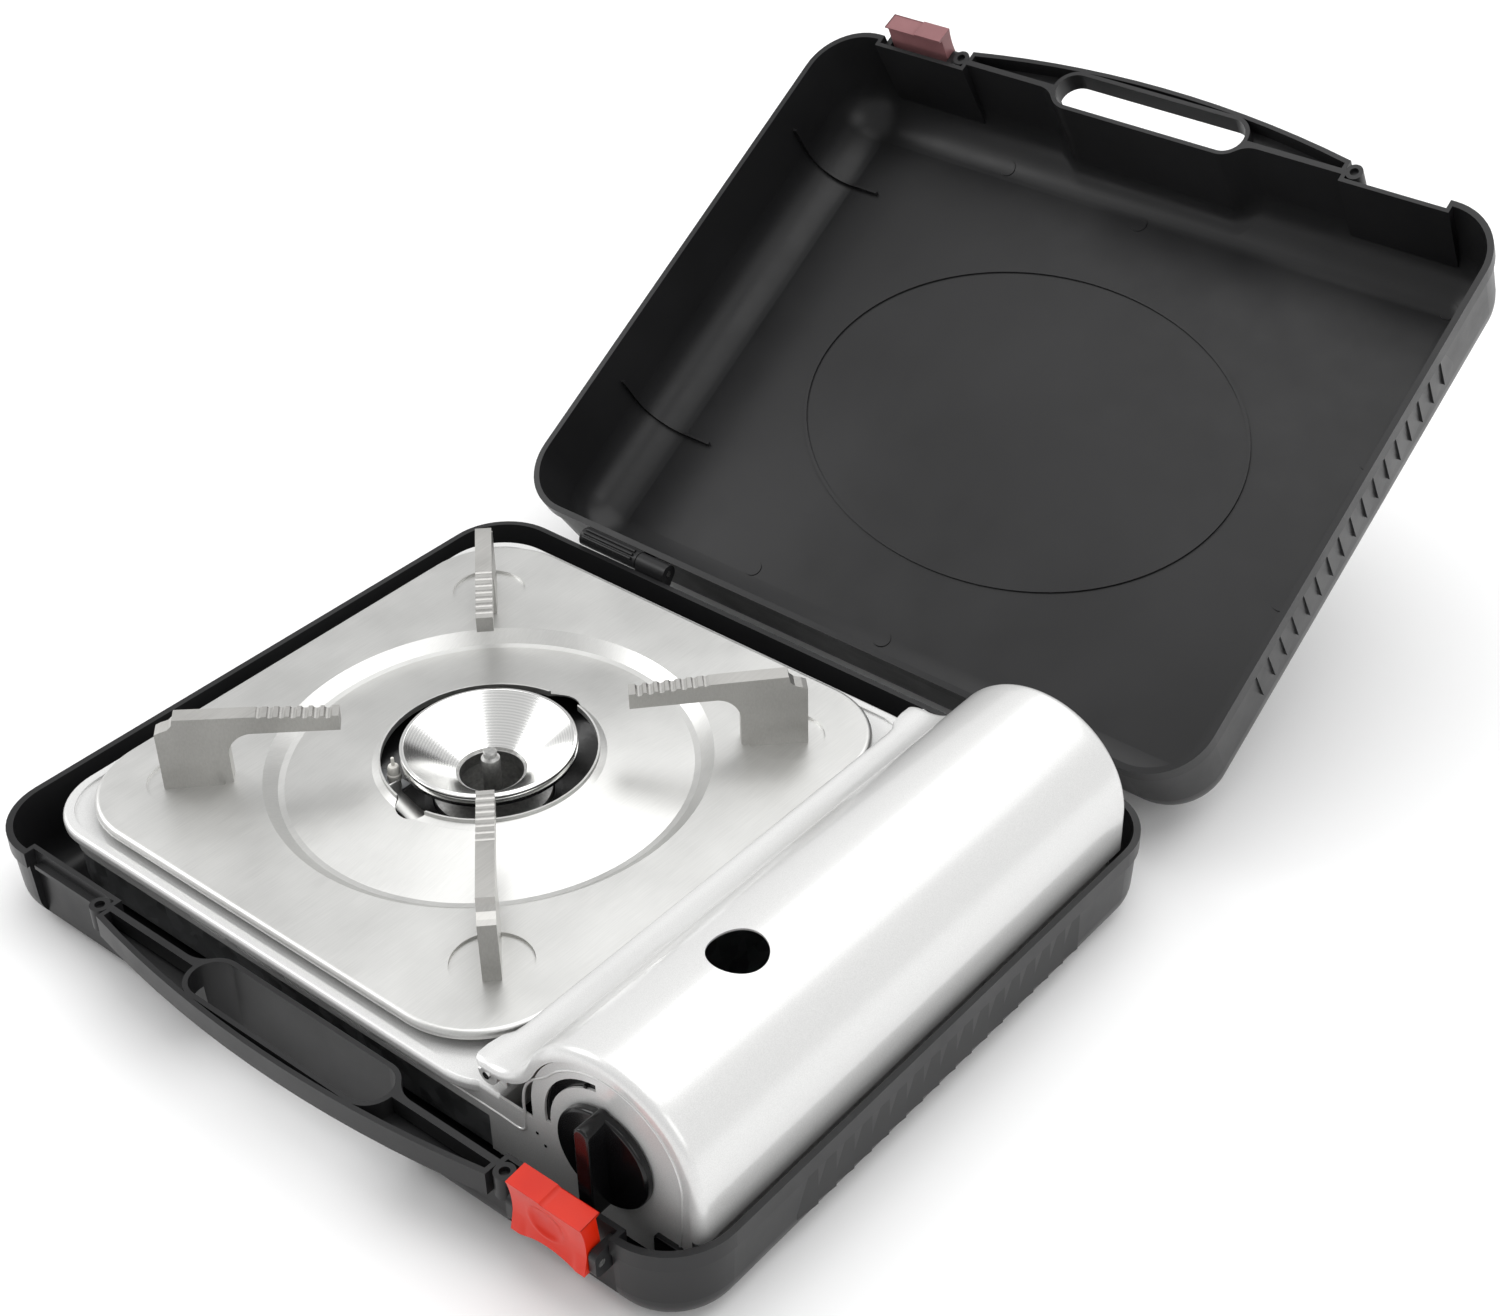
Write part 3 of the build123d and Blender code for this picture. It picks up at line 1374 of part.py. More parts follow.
def pan_support(turn):
    """Folded channel arm on a wide leg, with a toothed top edge, set on a diagonal."""
    ray = Plane(
        origin=(burner_x, 0, 0),
        x_dir=(cos(radians(turn)), sin(radians(turn)), 0),
        z_dir=(sin(radians(turn)), -cos(radians(turn)), 0),
    )
    top = seat_level + support_top
    tip_top = top - support_tip_drop
    leg_inner = support_outer - support_leg
    step_at = dimple_place * 2 ** 0.5 - dimple_radius + seat_clearance
    with BuildPart() as arm:
        with BuildSketch(ray):
            with BuildLine():
                Polyline(
                    (leg_inner, plate_level),
                    (step_at, plate_level),
                    (step_at, seat_level),
                    (support_outer, seat_level),
                    (support_outer, top - notch_drop - notch_slope),
                    (support_top_outer + notch_drop, top - notch_drop),
                    (support_top_outer + notch_curve, top - notch_drop + notch_slope),
                    (support_top_outer + notch_curve / 4, top - notch_drop / 2),
                    (support_top_outer, top),
                    (support_tip + tooth_count * tooth_pitch, top - arm_fall),
                    (support_tip, tip_top),
                    (support_tip, tip_top - support_tip_height),
                    (leg_inner - arm_under_radius, top - arm_height),
                )
                TangentArc(
                    (leg_inner - arm_under_radius, top - arm_height),
                    (leg_inner, top - arm_height - arm_under_radius),
                    tangent=(1, arm_blend),
                )
                Line((leg_inner, top - arm_height - arm_under_radius), (leg_inner, plate_level))
            make_face()
        extrude(amount=support_width / 2, both=True)
        with BuildSketch(ray):
            with BuildLine():
                Polyline(
                    (leg_inner + support_sheet, seat_level - support_sheet),
                    (support_outer - support_sheet, seat_level - support_sheet),
                    (support_outer - support_sheet, top - notch_drop - 2 * notch_slope - support_sheet),
                    (support_top_outer - support_sheet, top - notch_drop - 2 * support_sheet),
                    (support_top_outer - support_sheet, top - support_sheet - tooth_depth),
                    (support_tip + support_sheet, tip_top - support_sheet - tooth_depth),
                    (support_tip + support_sheet, tip_top - support_tip_height - support_sheet),
                    (leg_inner + support_sheet, tip_top - support_tip_height - channel_cut),
                    close=True,
                )
            make_face()
        extrude(amount=support_width / 2 - support_sheet, both=True, mode=Mode.SUBTRACT)
        with BuildSketch(ray):
            with Locations(*[
                (support_tip + tooth_start + (index + 0.5) * tooth_pitch,
                 tip_top + (index + 0.5) * support_tip_drop / tooth_count + tooth_lift)
                for index in range(tooth_count - 1)
            ]):
                Circle(tooth_depth)
        extrude(amount=support_width, both=True, mode=Mode.SUBTRACT)
        foot_centre = (step_at + support_outer) / 2
        foot = Plane(
            origin=ray.from_local_coords((foot_centre, seat_level, 0)), x_dir=ray.x_dir, z_dir=(0, 0, 1)
        )
        with BuildSketch(foot):
            Rectangle(support_outer - step_at - support_sheet, support_width - support_sheet)
            with Locations((rivet_place - foot_centre, 0)):
                Circle(rivet_radius, mode=Mode.SUBTRACT)
        extrude(amount=support_sheet)
    return arm.part


support_turns = (45, 135, 225, 315)
for number, turn in enumerate(support_turns, start=1):
    with BuildPart() as support:
        add(pan_support(turn))
    support.part.label = "pan_support_" + str(number)
    export_step(support.part, "parts/pan_support_" + str(number) + ".step")

with BuildPart() as support_rivets:
    with BuildSketch(Plane.XY.offset(seat_level - plate_sheet - rivet_head)):
        with Locations(*rivet_spots):
            Circle(rivet_head_radius)
    extrude(amount=rivet_head)
    with BuildSketch(Plane.XY.offset(seat_level - plate_sheet)):
        with Locations(*rivet_spots):
            Circle(rivet_radius)
    extrude(amount=plate_sheet + support_sheet)
    with BuildSketch(Plane.XY.offset(seat_level + support_sheet)):
        with Locations(*rivet_spots):
            Circle(rivet_head_radius)
    extrude(amount=rivet_head)
support_rivets.part.label = "support_rivets"
export_step(support_rivets.part, "parts/support_rivets.step")

# ---- Canister cover ----
crease_rise = cover_flange_level + cover_crease_radius - cover_level
crease_run = ((cover_radius + cover_crease_radius) ** 2 - crease_rise ** 2) ** 0.5
crease_x = cover_x - crease_run
crease_level = cover_flange_level + cover_crease_radius


def cover_block(inset):
    """Solid arch of the canister cover with rounded ends, moved inward by inset."""
    radius = cover_radius - inset
    low = cover_level - cover_skirt - 2 * cover_edge_radius
    with BuildPart() as block:
        with BuildSketch(Plane(origin=(0, inset - cover_half, 0), x_dir=(1, 0, 0), z_dir=(0, -1, 0))):
            with BuildLine():
                ThreePointArc(
                    (cover_x - radius, cover_level),
                    (cover_x, cover_level + radius),
                    (cover_x + radius, cover_level),
                )
                Polyline(
                    (cover_x + radius, cover_level),
                    (cover_x + radius, low),
                    (cover_x - radius, low),
                    (cover_x - radius, cover_level),
                )
            make_face()
        extrude(amount=-2 * (cover_half - inset))
        ends = block.faces().sort_by(Axis.Y)
        arch_edges = (ends[0].edges() + ends[-1].edges()).filter_by(lambda edge: edge.center().Z > low + 1)
        fillet(arch_edges, cover_edge_radius - inset)
    return block.part


def lobe(face_y, width, radius):
    """Round hinge lobe on the cover's axis, from face_y along Y by width."""
    with BuildPart() as disc:
        with BuildSketch(Plane(origin=(0, face_y, 0), x_dir=(1, 0, 0), z_dir=(0, -1, 0))):
            with Locations((cover_hinge_x, cover_hinge_level)):
                Circle(radius)
        extrude(amount=-width)
    return disc.part


cover_face = Plane(origin=(0, -cover_half, 0), x_dir=(1, 0, 0), z_dir=(0, -1, 0))
touch_share = cover_radius / (cover_radius + cover_crease_radius)
touch_x = cover_x + (crease_x - cover_x) * touch_share
touch_level = cover_level + (crease_level - cover_level) * touch_share
with BuildPart() as canister_cover:
    add(cover_block(0))
    with BuildSketch(cover_face):
        with Locations((touch_x - cover_radius, touch_level - cover_radius)):
            Rectangle(2 * cover_radius, 2 * cover_radius)
        with Locations((cover_x, cover_level - cover_skirt - cover_radius)):
            Rectangle(4 * cover_radius, 2 * cover_radius)
    extrude(amount=-2 * cover_half, mode=Mode.SUBTRACT)
    with BuildSketch(cover_face):
        with BuildLine():
            Polyline(
                (cover_flange_left, cover_flange_level),
                (cover_flange_left, cover_flange_level - cover_sheet),
                (crease_x, cover_flange_level - cover_sheet),
            )
            ThreePointArc(
                (crease_x, cover_flange_level - cover_sheet),
                (
                    crease_x + (cover_crease_radius + cover_sheet) * cos(radians(-60)),
                    crease_level + (cover_crease_radius + cover_sheet) * sin(radians(-60)),
                ),
                (crease_x + (cover_crease_radius + cover_sheet) * 0.94,
                 crease_level - (cover_crease_radius + cover_sheet) * 0.34),
            )
            Line(
                (crease_x + (cover_crease_radius + cover_sheet) * 0.94,
                 crease_level - (cover_crease_radius + cover_sheet) * 0.34),
                (crease_x + cover_crease_radius * 0.94, crease_level - cover_crease_radius * 0.34),
            )
            ThreePointArc(
                (crease_x + cover_crease_radius * 0.94, crease_level - cover_crease_radius * 0.34),
                (
                    crease_x + cover_crease_radius * cos(radians(-60)),
                    crease_level + cover_crease_radius * sin(radians(-60)),
                ),
                (crease_x, crease_level - cover_crease_radius),
            )
            Line((crease_x, crease_level - cover_crease_radius), (cover_flange_left, cover_flange_level))
        make_face()
    extrude(amount=-2 * cover_half)
    add(cover_block(cover_sheet), mode=Mode.SUBTRACT)
    with BuildSketch(cover_face.offset(1)):
        with Locations((cover_x, cover_level)):
            Circle(arch_radius + panel_gap)
        with Locations(((bay_left - panel_gap + cover_x) / 2, (cover_level - cover_skirt + lip_level) / 2)):
            Rectangle(cover_x - bay_left + panel_gap, lip_level - cover_level + cover_skirt + 2 * panel_gap)
        with Locations((cover_x, cover_level - cover_skirt)):
            Rectangle(2 * (arch_radius + panel_gap), 2 * cover_skirt)
    extrude(amount=-2 * cover_half - 2, mode=Mode.SUBTRACT)
    with BuildSketch(Plane.XY.offset(cover_hinge_level - cover_lobe_radius)):
        with Locations((cover_hinge_x - cover_lobe_radius, 0)):
            with GridLocations(1, 2 * ear_middle, 1, 2):
                Rectangle(4 * cover_lobe_radius + 2 * ear_slot_gap, ear_sheet + 2 * ear_slot_gap)
    extrude(amount=cover_radius, mode=Mode.SUBTRACT)
    for side in (-1, 1):
        lobe_face = side * (cover_half - lobe_thickness / 2) - lobe_thickness / 2
        add(lobe(lobe_face, lobe_thickness, cover_lobe_radius))
    with BuildSketch(cover_face):
        with Locations((cover_hinge_x, cover_hinge_level)):
            Circle(cover_pin_radius + running_clearance)
    extrude(amount=-2 * cover_half, mode=Mode.SUBTRACT)
    with BuildSketch(Plane.XY.offset(cover_level)):
        with Locations((cover_x, cover_hole_y)):
            Circle(cover_hole_radius)
    extrude(amount=2 * cover_radius, mode=Mode.SUBTRACT)
canister_cover.part.label = "canister_cover"
export_step(canister_cover.part, "parts/canister_cover.step")
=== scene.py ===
import json
import math
import bpy
import bmesh
from mathutils import Matrix, Vector


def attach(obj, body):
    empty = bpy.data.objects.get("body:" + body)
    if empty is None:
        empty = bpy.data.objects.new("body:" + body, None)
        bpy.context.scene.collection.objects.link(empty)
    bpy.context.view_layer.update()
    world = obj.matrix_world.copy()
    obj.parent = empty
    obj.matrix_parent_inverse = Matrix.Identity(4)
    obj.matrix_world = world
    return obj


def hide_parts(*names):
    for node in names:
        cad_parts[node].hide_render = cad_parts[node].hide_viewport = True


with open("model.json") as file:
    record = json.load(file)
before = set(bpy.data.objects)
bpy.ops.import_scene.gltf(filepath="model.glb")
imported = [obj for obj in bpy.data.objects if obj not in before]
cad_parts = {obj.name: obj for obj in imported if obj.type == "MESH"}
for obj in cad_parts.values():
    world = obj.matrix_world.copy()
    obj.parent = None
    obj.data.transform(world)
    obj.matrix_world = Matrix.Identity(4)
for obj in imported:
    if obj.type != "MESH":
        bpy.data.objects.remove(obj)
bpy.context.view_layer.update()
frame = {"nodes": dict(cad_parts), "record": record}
nodes = frame["nodes"]

# Places and sizes that the solids have too, in mm.
burner_x = -44.2
arch_x, arch_z, arch_radius = 134.5, 49.3, 40.5
knob_z = 48.5
hinge_y, hinge_z = 150.6, 40.0
tray_rim_z, lid_rim_lift = 38.0, 1.7
latch_x, latch_y, latch_down = 131.5, 149.0, 9.0
sheet_gauge = 0.8
# The cover's ends are rolled inward: the band that does so, on the arch and on the flange.
side_band, flange_band = 5.0, 3.2


# ---------------------------------------------------------------- materials

def linear(code):
    """An sRGB hex value as linear red, green, blue and alpha."""
    parts = [int(code[i:i + 2], 16) / 255 for i in (1, 3, 5)]
    return tuple(c / 12.92 if c <= 0.04045 else ((c + 0.055) / 1.055) ** 2.4
                 for c in parts) + (1.0,)


def link(tree, node, links):
    """The node's named inputs, linked from (node, output) pairs."""
    for key, (source, output) in links.items():
        tree.links.new(source.outputs[output], node.inputs[key])


def add_node(tree, kind, settings=None, links=None):
    """A node of this kind with its sockets, fields or ramp stops set and its inputs linked."""
    node = tree.nodes.new(kind)
    for key, value in (settings or {}).items():
        if key == "stops":
            for element, (place, code) in zip(node.color_ramp.elements, value):
                element.position = place
                element.color = linear(code)
        elif key in node.inputs:
            node.inputs[key].default_value = value
        else:
            setattr(node, key, value)
    link(tree, node, links or {})
    return node


def finish(name, **sockets):
    """A new material with plain shader sockets set, its tree, shader and object coordinates."""
    material = bpy.data.materials.new(name)
    material.use_nodes = True
    tree = material.node_tree
    shader = tree.nodes["Principled BSDF"]
    for key, value in sockets.items():
        shader.inputs[key.replace("_", " ")].default_value = value
    return material, tree, shader, add_node(tree, "ShaderNodeTexCoord")


def spark_textured_polypropylene():
    # Polypropylene from a spark-eroded mould: a fine even grain that spreads highlights into
    # soft bands.
    material, tree, shader, place = finish("spark_textured_polypropylene", IOR=1.49,
                                           Specular_IOR_Level=0.32)
    # Flow of the plastic, a hand's width across: one part of a wall is a shade greyer.
    flow = add_node(tree, "ShaderNodeTexNoise", {"Scale": 11, "Detail": 3},
                    {"Vector": (place, "Object")})
    tone = add_node(tree, "ShaderNodeValToRGB",
                    {"stops": [(0.35, "#1A1A1B"), (0.7, "#222223")]}, {"Fac": (flow, "Fac")})
    # Rubbed places are a little smoother than the rest.
    rubbed = add_node(tree, "ShaderNodeTexNoise", {"Scale": 45, "Detail": 5, "Roughness": 0.6},
                      {"Vector": (place, "Object")})
    roughness = add_node(tree, "ShaderNodeMapRange",
                         {"From Min": 0.3, "From Max": 0.7, "To Min": 0.3, "To Max": 0.4},
                         {"Value": (rubbed, "Fac")})
    # The real grain is about 0.1 mm; it is drawn at 0.5 mm so that it shows.
    spark = add_node(tree, "ShaderNodeTexNoise", {"Scale": 2000, "Detail": 1},
                     {"Vector": (place, "Object")})
    skin = add_node(tree, "ShaderNodeBump", {"Strength": 0.8, "Distance": 0.000012},
                    {"Height": (spark, "Fac")})
    link(tree, shader, {"Base Color": (tone, "Color"), "Roughness": (roughness, "Result"),
                        "Normal": (skin, "Normal")})
    return material


def moulded_abs(name, dark, light, roughness):
    # Polished injection moulding: a clear reflection, with a faint flow in the colour and a
    # slight sink in the skin.
    material, tree, shader, place = finish(name, Roughness=roughness, IOR=1.53,
                                           Specular_IOR_Level=0.3)
    flow = add_node(tree, "ShaderNodeTexNoise", {"Scale": 60, "Detail": 2},
                    {"Vector": (place, "Object")})
    tone = add_node(tree, "ShaderNodeValToRGB", {"stops": [(0.3, dark), (0.7, light)]},
                    {"Fac": (flow, "Fac")})
    sink = add_node(tree, "ShaderNodeTexNoise", {"Scale": 300, "Detail": 1},
                    {"Vector": (place, "Object")})
    skin = add_node(tree, "ShaderNodeBump", {"Distance": 0.00001}, {"Height": (sink, "Fac")})
    link(tree, shader, {"Base Color": (tone, "Color"), "Normal": (skin, "Normal")})
    return material


def satin_stainless_sheet(name, dark, light):
    # Stainless sheet with a satin belt finish: fine scratches along the sheet, and soft clouds
    # where it was pressed.
    material, tree, shader, place = finish(name, Metallic=1.0)
    # Belt scratches run front to back. They are drawn 0.4 mm apart so that they show.
    along = add_node(tree, "ShaderNodeMapping", {"Scale": (1, 0.03, 0.3)},
                     {"Vector": (place, "Object")})
    scratch = add_node(tree, "ShaderNodeTexNoise", {"Scale": 2400, "Detail": 2},
                       {"Vector": (along, "Vector")})
    # Clouds a few centimetres across.
    clouds = add_node(tree, "ShaderNodeTexNoise", {"Scale": 28, "Detail": 3},
                      {"Vector": (place, "Object")})
    both = add_node(tree, "ShaderNodeMix", {"data_type": "FLOAT", "Factor": 0.6},
                    {"A": (scratch, "Fac"), "B": (clouds, "Fac")})
    tone = add_node(tree, "ShaderNodeValToRGB", {"stops": [(0.35, dark), (0.65, light)]},
                    {"Fac": (both, "Result")})
    roughness = add_node(tree, "ShaderNodeMapRange",
                         {"From Min": 0.35, "From Max": 0.65, "To Min": 0.36, "To Max": 0.44},
                         {"Value": (both, "Result")})
    skin = add_node(tree, "ShaderNodeBump", {"Strength": 0.5, "Distance": 0.000006},
                    {"Height": (scratch, "Fac")})
    link(tree, shader, {"Base Color": (tone, "Color"), "Roughness": (roughness, "Result"),
                        "Normal": (skin, "Normal")})
    return material


def pearl_silver_paint():
    # Pale silver coat with fine flake under clear lacquer: nearly white, with a soft gloss
    # over it.
    material, tree, shader, place = finish("pearl_silver_paint", Metallic=0.25, Roughness=0.3,
                                           Coat_Weight=0.7, Coat_Roughness=0.1)
    # Real flake is finer than 0.1 mm; it is drawn at 0.3 mm so that it shows.
    flake = add_node(tree, "ShaderNodeTexNoise", {"Scale": 3500, "Detail": 1},
                     {"Vector": (place, "Object")})
    tone = add_node(tree, "ShaderNodeValToRGB",
                    {"stops": [(0.35, "#D6D6D5"), (0.65, "#E4E4E3")]}, {"Fac": (flake, "Fac")})
    # Orange peel of the sprayed lacquer, about 2 mm from crest to crest.
    peel = add_node(tree, "ShaderNodeTexNoise", {"Scale": 450, "Detail": 1},
                    {"Vector": (place, "Object")})
    skin = add_node(tree, "ShaderNodeBump", {"Distance": 0.000004}, {"Height": (peel, "Fac")})
    link(tree, shader, {"Base Color": (tone, "Color"), "Normal": (skin, "Normal")})
    return material


def galvanised_sheet():
    # Zinc-coated steel: grey crystals a few millimetres across, duller where the zinc is worn.
    material, tree, shader, place = finish("galvanised_sheet", Metallic=0.9)
    crystals = add_node(tree, "ShaderNodeTexVoronoi", {"Scale": 160},
                        {"Vector": (place, "Object")})
    tone = add_node(tree, "ShaderNodeValToRGB", {"stops": [(0.0, "#8C8E90"), (1.0, "#B4B6B8")]},
                    {"Fac": (crystals, "Color")})
    roughness = add_node(tree, "ShaderNodeMapRange", {"To Min": 0.3, "To Max": 0.5},
                         {"Value": (crystals, "Color")})
    link(tree, shader, {"Base Color": (tone, "Color"), "Roughness": (roughness, "Result")})
    return material


def spun_aluminium():
    # Aluminium spun on a lathe: fine tool rings round the burner's axis, drawn 1 mm apart so
    # that they show.
    material, tree, shader, place = finish("spun_aluminium", Metallic=1.0, Roughness=0.2)
    centre = add_node(tree, "ShaderNodeMapping", {"Location": (-burner_x / 1000, 0, 0)},
                      {"Vector": (place, "Object")})
    rings = add_node(tree, "ShaderNodeTexWave",
                     {"wave_type": "RINGS", "rings_direction": "Z", "Scale": 320,
                      "Distortion": 0.4, "Detail": 2}, {"Vector": (centre, "Vector")})
    tone = add_node(tree, "ShaderNodeValToRGB", {"stops": [(0.0, "#E2E2E1"), (1.0, "#F2F2F0")]},
                    {"Fac": (rings, "Fac")})
    skin = add_node(tree, "ShaderNodeBump", {"Distance": 0.000004}, {"Height": (rings, "Fac")})
    link(tree, shader, {"Base Color": (tone, "Color"), "Normal": (skin, "Normal")})
    return material


def die_cast_aluminium():
    # Die-cast aluminium: a grey skin with fine pits.
    material, tree, shader, place = finish("die_cast_aluminium", Metallic=1.0, Roughness=0.42)
    pits = add_node(tree, "ShaderNodeTexNoise", {"Scale": 700, "Detail": 3},
                    {"Vector": (place, "Object")})
    tone = add_node(tree, "ShaderNodeValToRGB", {"stops": [(0.3, "#9A9A99"), (0.7, "#B8B8B6")]},
                    {"Fac": (pits, "Fac")})
    skin = add_node(tree, "ShaderNodeBump", {"Distance": 0.00005}, {"Height": (pits, "Fac")})
    link(tree, shader, {"Base Color": (tone, "Color"), "Normal": (skin, "Normal")})
    return material


def plain_metal(name, dark, light, roughness, patch_scale):
    # Bright bar or tube as it comes from the lathe or the die, its tone a little uneven from
    # handling.
    material, tree, shader, place = finish(name, Metallic=1.0, Roughness=roughness)
    handled = add_node(tree, "ShaderNodeTexNoise", {"Scale": patch_scale, "Detail": 3},
                       {"Vector": (place, "Object")})
    tone = add_node(tree, "ShaderNodeValToRGB", {"stops": [(0.3, dark), (0.7, light)]},
                    {"Fac": (handled, "Fac")})
    link(tree, shader, {"Base Color": (tone, "Color")})
    return material


def vitreous_enamel():
    # Black enamel fired on steel: glassy, with a little orange peel.
    material, tree, shader, place = finish("vitreous_enamel", Roughness=0.18, IOR=1.52)
    cloud = add_node(tree, "ShaderNodeTexNoise", {"Scale": 90, "Detail": 2},
                     {"Vector": (place, "Object")})
    tone = add_node(tree, "ShaderNodeValToRGB", {"stops": [(0.3, "#0E0E0F"), (0.7, "#161617")]},
                    {"Fac": (cloud, "Fac")})
    peel = add_node(tree, "ShaderNodeTexNoise", {"Scale": 500, "Detail": 1},
                    {"Vector": (place, "Object")})
    skin = add_node(tree, "ShaderNodeBump", {"Distance": 0.00002}, {"Height": (peel, "Fac")})
    link(tree, shader, {"Base Color": (tone, "Color"), "Normal": (skin, "Normal")})
    return material


def glazed_steatite():
    # Fired ceramic with a clear glaze: off-white, glassy, a little cloudy from the kiln.
    material, tree, shader, place = finish("glazed_steatite", Roughness=0.2, IOR=1.55)
    cloud = add_node(tree, "ShaderNodeTexNoise", {"Scale": 400, "Detail": 2},
                     {"Vector": (place, "Object")})
    tone = add_node(tree, "ShaderNodeValToRGB", {"stops": [(0.3, "#DDDBD4"), (0.7, "#ECEAE4")]},
                    {"Fac": (cloud, "Fac")})
    link(tree, shader, {"Base Color": (tone, "Color")})
    return material


def black_rubber():
    # Moulded rubber: dull and slightly dusty.
    material, tree, shader, place = finish("black_rubber", Roughness=0.75, IOR=1.52)
    dust = add_node(tree, "ShaderNodeTexNoise", {"Scale": 150, "Detail": 4},
                    {"Vector": (place, "Object")})
    tone = add_node(tree, "ShaderNodeValToRGB", {"stops": [(0.3, "#141414"), (0.7, "#1E1E1E")]},
                    {"Fac": (dust, "Fac")})
    link(tree, shader, {"Base Color": (tone, "Color")})
    return material


def floor_paint():
    # Matt white paint, rolled on, so its tone is barely uneven.
    material, tree, shader, place = finish("floor_paint", Roughness=0.8)
    rolled = add_node(tree, "ShaderNodeTexNoise", {"Scale": 3, "Detail": 1},
                      {"Vector": (place, "Object")})
    tone = add_node(tree, "ShaderNodeValToRGB", {"stops": [(0.3, "#F9F9F9"), (0.7, "#FBFBFB")]},
                    {"Fac": (rolled, "Fac")})
    link(tree, shader, {"Base Color": (tone, "Color")})
    return material


materials = {
    "case_black": spark_textured_polypropylene(),
    "latch_red": moulded_abs("red_abs", "#CC2004", "#D6290A", 0.3),
    "latch_rose": moulded_abs("rose_abs", "#82585A", "#8E6264", 0.4),
    "knob_black": moulded_abs("gloss_black_abs", "#0A0A0B", "#101011", 0.2),
    "pin_steel": plain_metal("drawn_steel", "#A9A9A8", "#C4C4C2", 0.25, 500),
    "satin_steel": satin_stainless_sheet("satin_stainless_sheet", "#CECECC", "#DADAD8"),
    "silver_paint": pearl_silver_paint(),
    "pan_steel": galvanised_sheet(),
    "enamel_black": vitreous_enamel(),
    "spun_aluminium": spun_aluminium(),
    "cast_aluminium": die_cast_aluminium(),
    "brass": plain_metal("turned_brass", "#B08A4C", "#CBA766", 0.28, 120),
    "rubber": black_rubber(),
    "ceramic": glazed_steatite(),
    # The folded pan supports take a greyer copy of the plate's satin sheet.
    "greyer_satin_steel": satin_stainless_sheet("greyer_stainless_sheet", "#B4B3B0", "#C4C3C0"),
}

slot_of = {part["node"]: part["material_slot"] for part in frame["record"]["subparts"]}
for name, node in nodes.items():
    material = materials["greyer_satin_steel" if name.startswith("pan_support") else slot_of[name]]
    if not node.material_slots:
        node.data.materials.append(material)
    for place in node.material_slots:
        place.material = material


# ---------------------------------------------------------------- making a piece

def ramp(value):
    """The value, held between 0 and 1."""
    return max(0.0, min(1.0, value))


def metres(x, y, z):
    """A place in mm as a vector in metres."""
    return Vector((x / 1000, y / 1000, z / 1000))


def add_object(name, data):
    """A new object in the scene."""
    made = bpy.data.objects.new(name, data)
    bpy.context.collection.objects.link(made)
    return made


def mesh_from(shape, name):
    """A mesh of this name from a bmesh, which is then freed."""
    mesh = bpy.data.meshes.new(name)
    shape.to_mesh(mesh)
    shape.free()
    return mesh


def smooth(mesh, angle=35):
    """The mesh is shaded smooth, but for the edges sharper than this angle in degrees."""
    mesh.shade_smooth()
    mesh.set_sharp_from_angle(angle=math.radians(angle))


def piece(name, shape, material, body, angle=35):
    """A bmesh as an object that rides on a body, shaded smooth below this edge angle."""
    mesh = mesh_from(shape, name)
    smooth(mesh, angle)
    mesh.materials.append(materials[material])
    made = add_object(name, mesh)
    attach(made, body)
    return made


def turned(shape, profile, centre, axis, steps):
    """A profile of (radius, height), spun round an axis through a centre, all in mm."""
    centre, axis = metres(*centre), Vector(axis)
    side = axis.orthogonal().normalized()
    line = [shape.verts.new(centre + (side * radius + axis * height) / 1000)
            for radius, height in profile]
    edges = [shape.edges.new(pair) for pair in zip(line, line[1:])]
    bmesh.ops.spin(shape, geom=line + edges, cent=centre, axis=axis, angle=math.tau,
                   steps=steps, use_merge=True)
    bmesh.ops.remove_doubles(shape, verts=shape.verts, dist=0.000002)
    bmesh.ops.recalc_face_normals(shape, faces=shape.faces)


def laid_grid(columns, rows, point):
    """A grid of this many columns and rows whose corners are moved to point(column, row)."""
    shape = bmesh.new()
    bmesh.ops.create_grid(shape, x_segments=columns - 1, y_segments=rows - 1, size=1)
    for corner in shape.verts:
        column = round((corner.co.x + 1) / 2 * (columns - 1))
        row = round((corner.co.y + 1) / 2 * (rows - 1))
        corner.co = point(column, row)
    return shape


def pressed_bead(name, route, radius, slot, body):
    """A round bead, half sunk in its wall, along a route of (x, y, z) points in mm."""
    curve = bpy.data.curves.new(name, "CURVE")
    curve.dimensions = "3D"
    curve.bevel_depth = radius / 1000
    curve.bevel_resolution = 3
    line = curve.splines.new("NURBS")
    line.points.add(len(route) - 1)
    for spot, (x, y, z) in zip(line.points, route):
        spot.co = (x / 1000, y / 1000, z / 1000, 1)
    line.order_u = 3
    line.use_endpoint_u = True
    line.resolution_u = 6
    curve.materials.append(materials[slot])
    bead = add_object(name, curve)
    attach(bead, body)


# ---------------------------------------------------------------- the canister cover

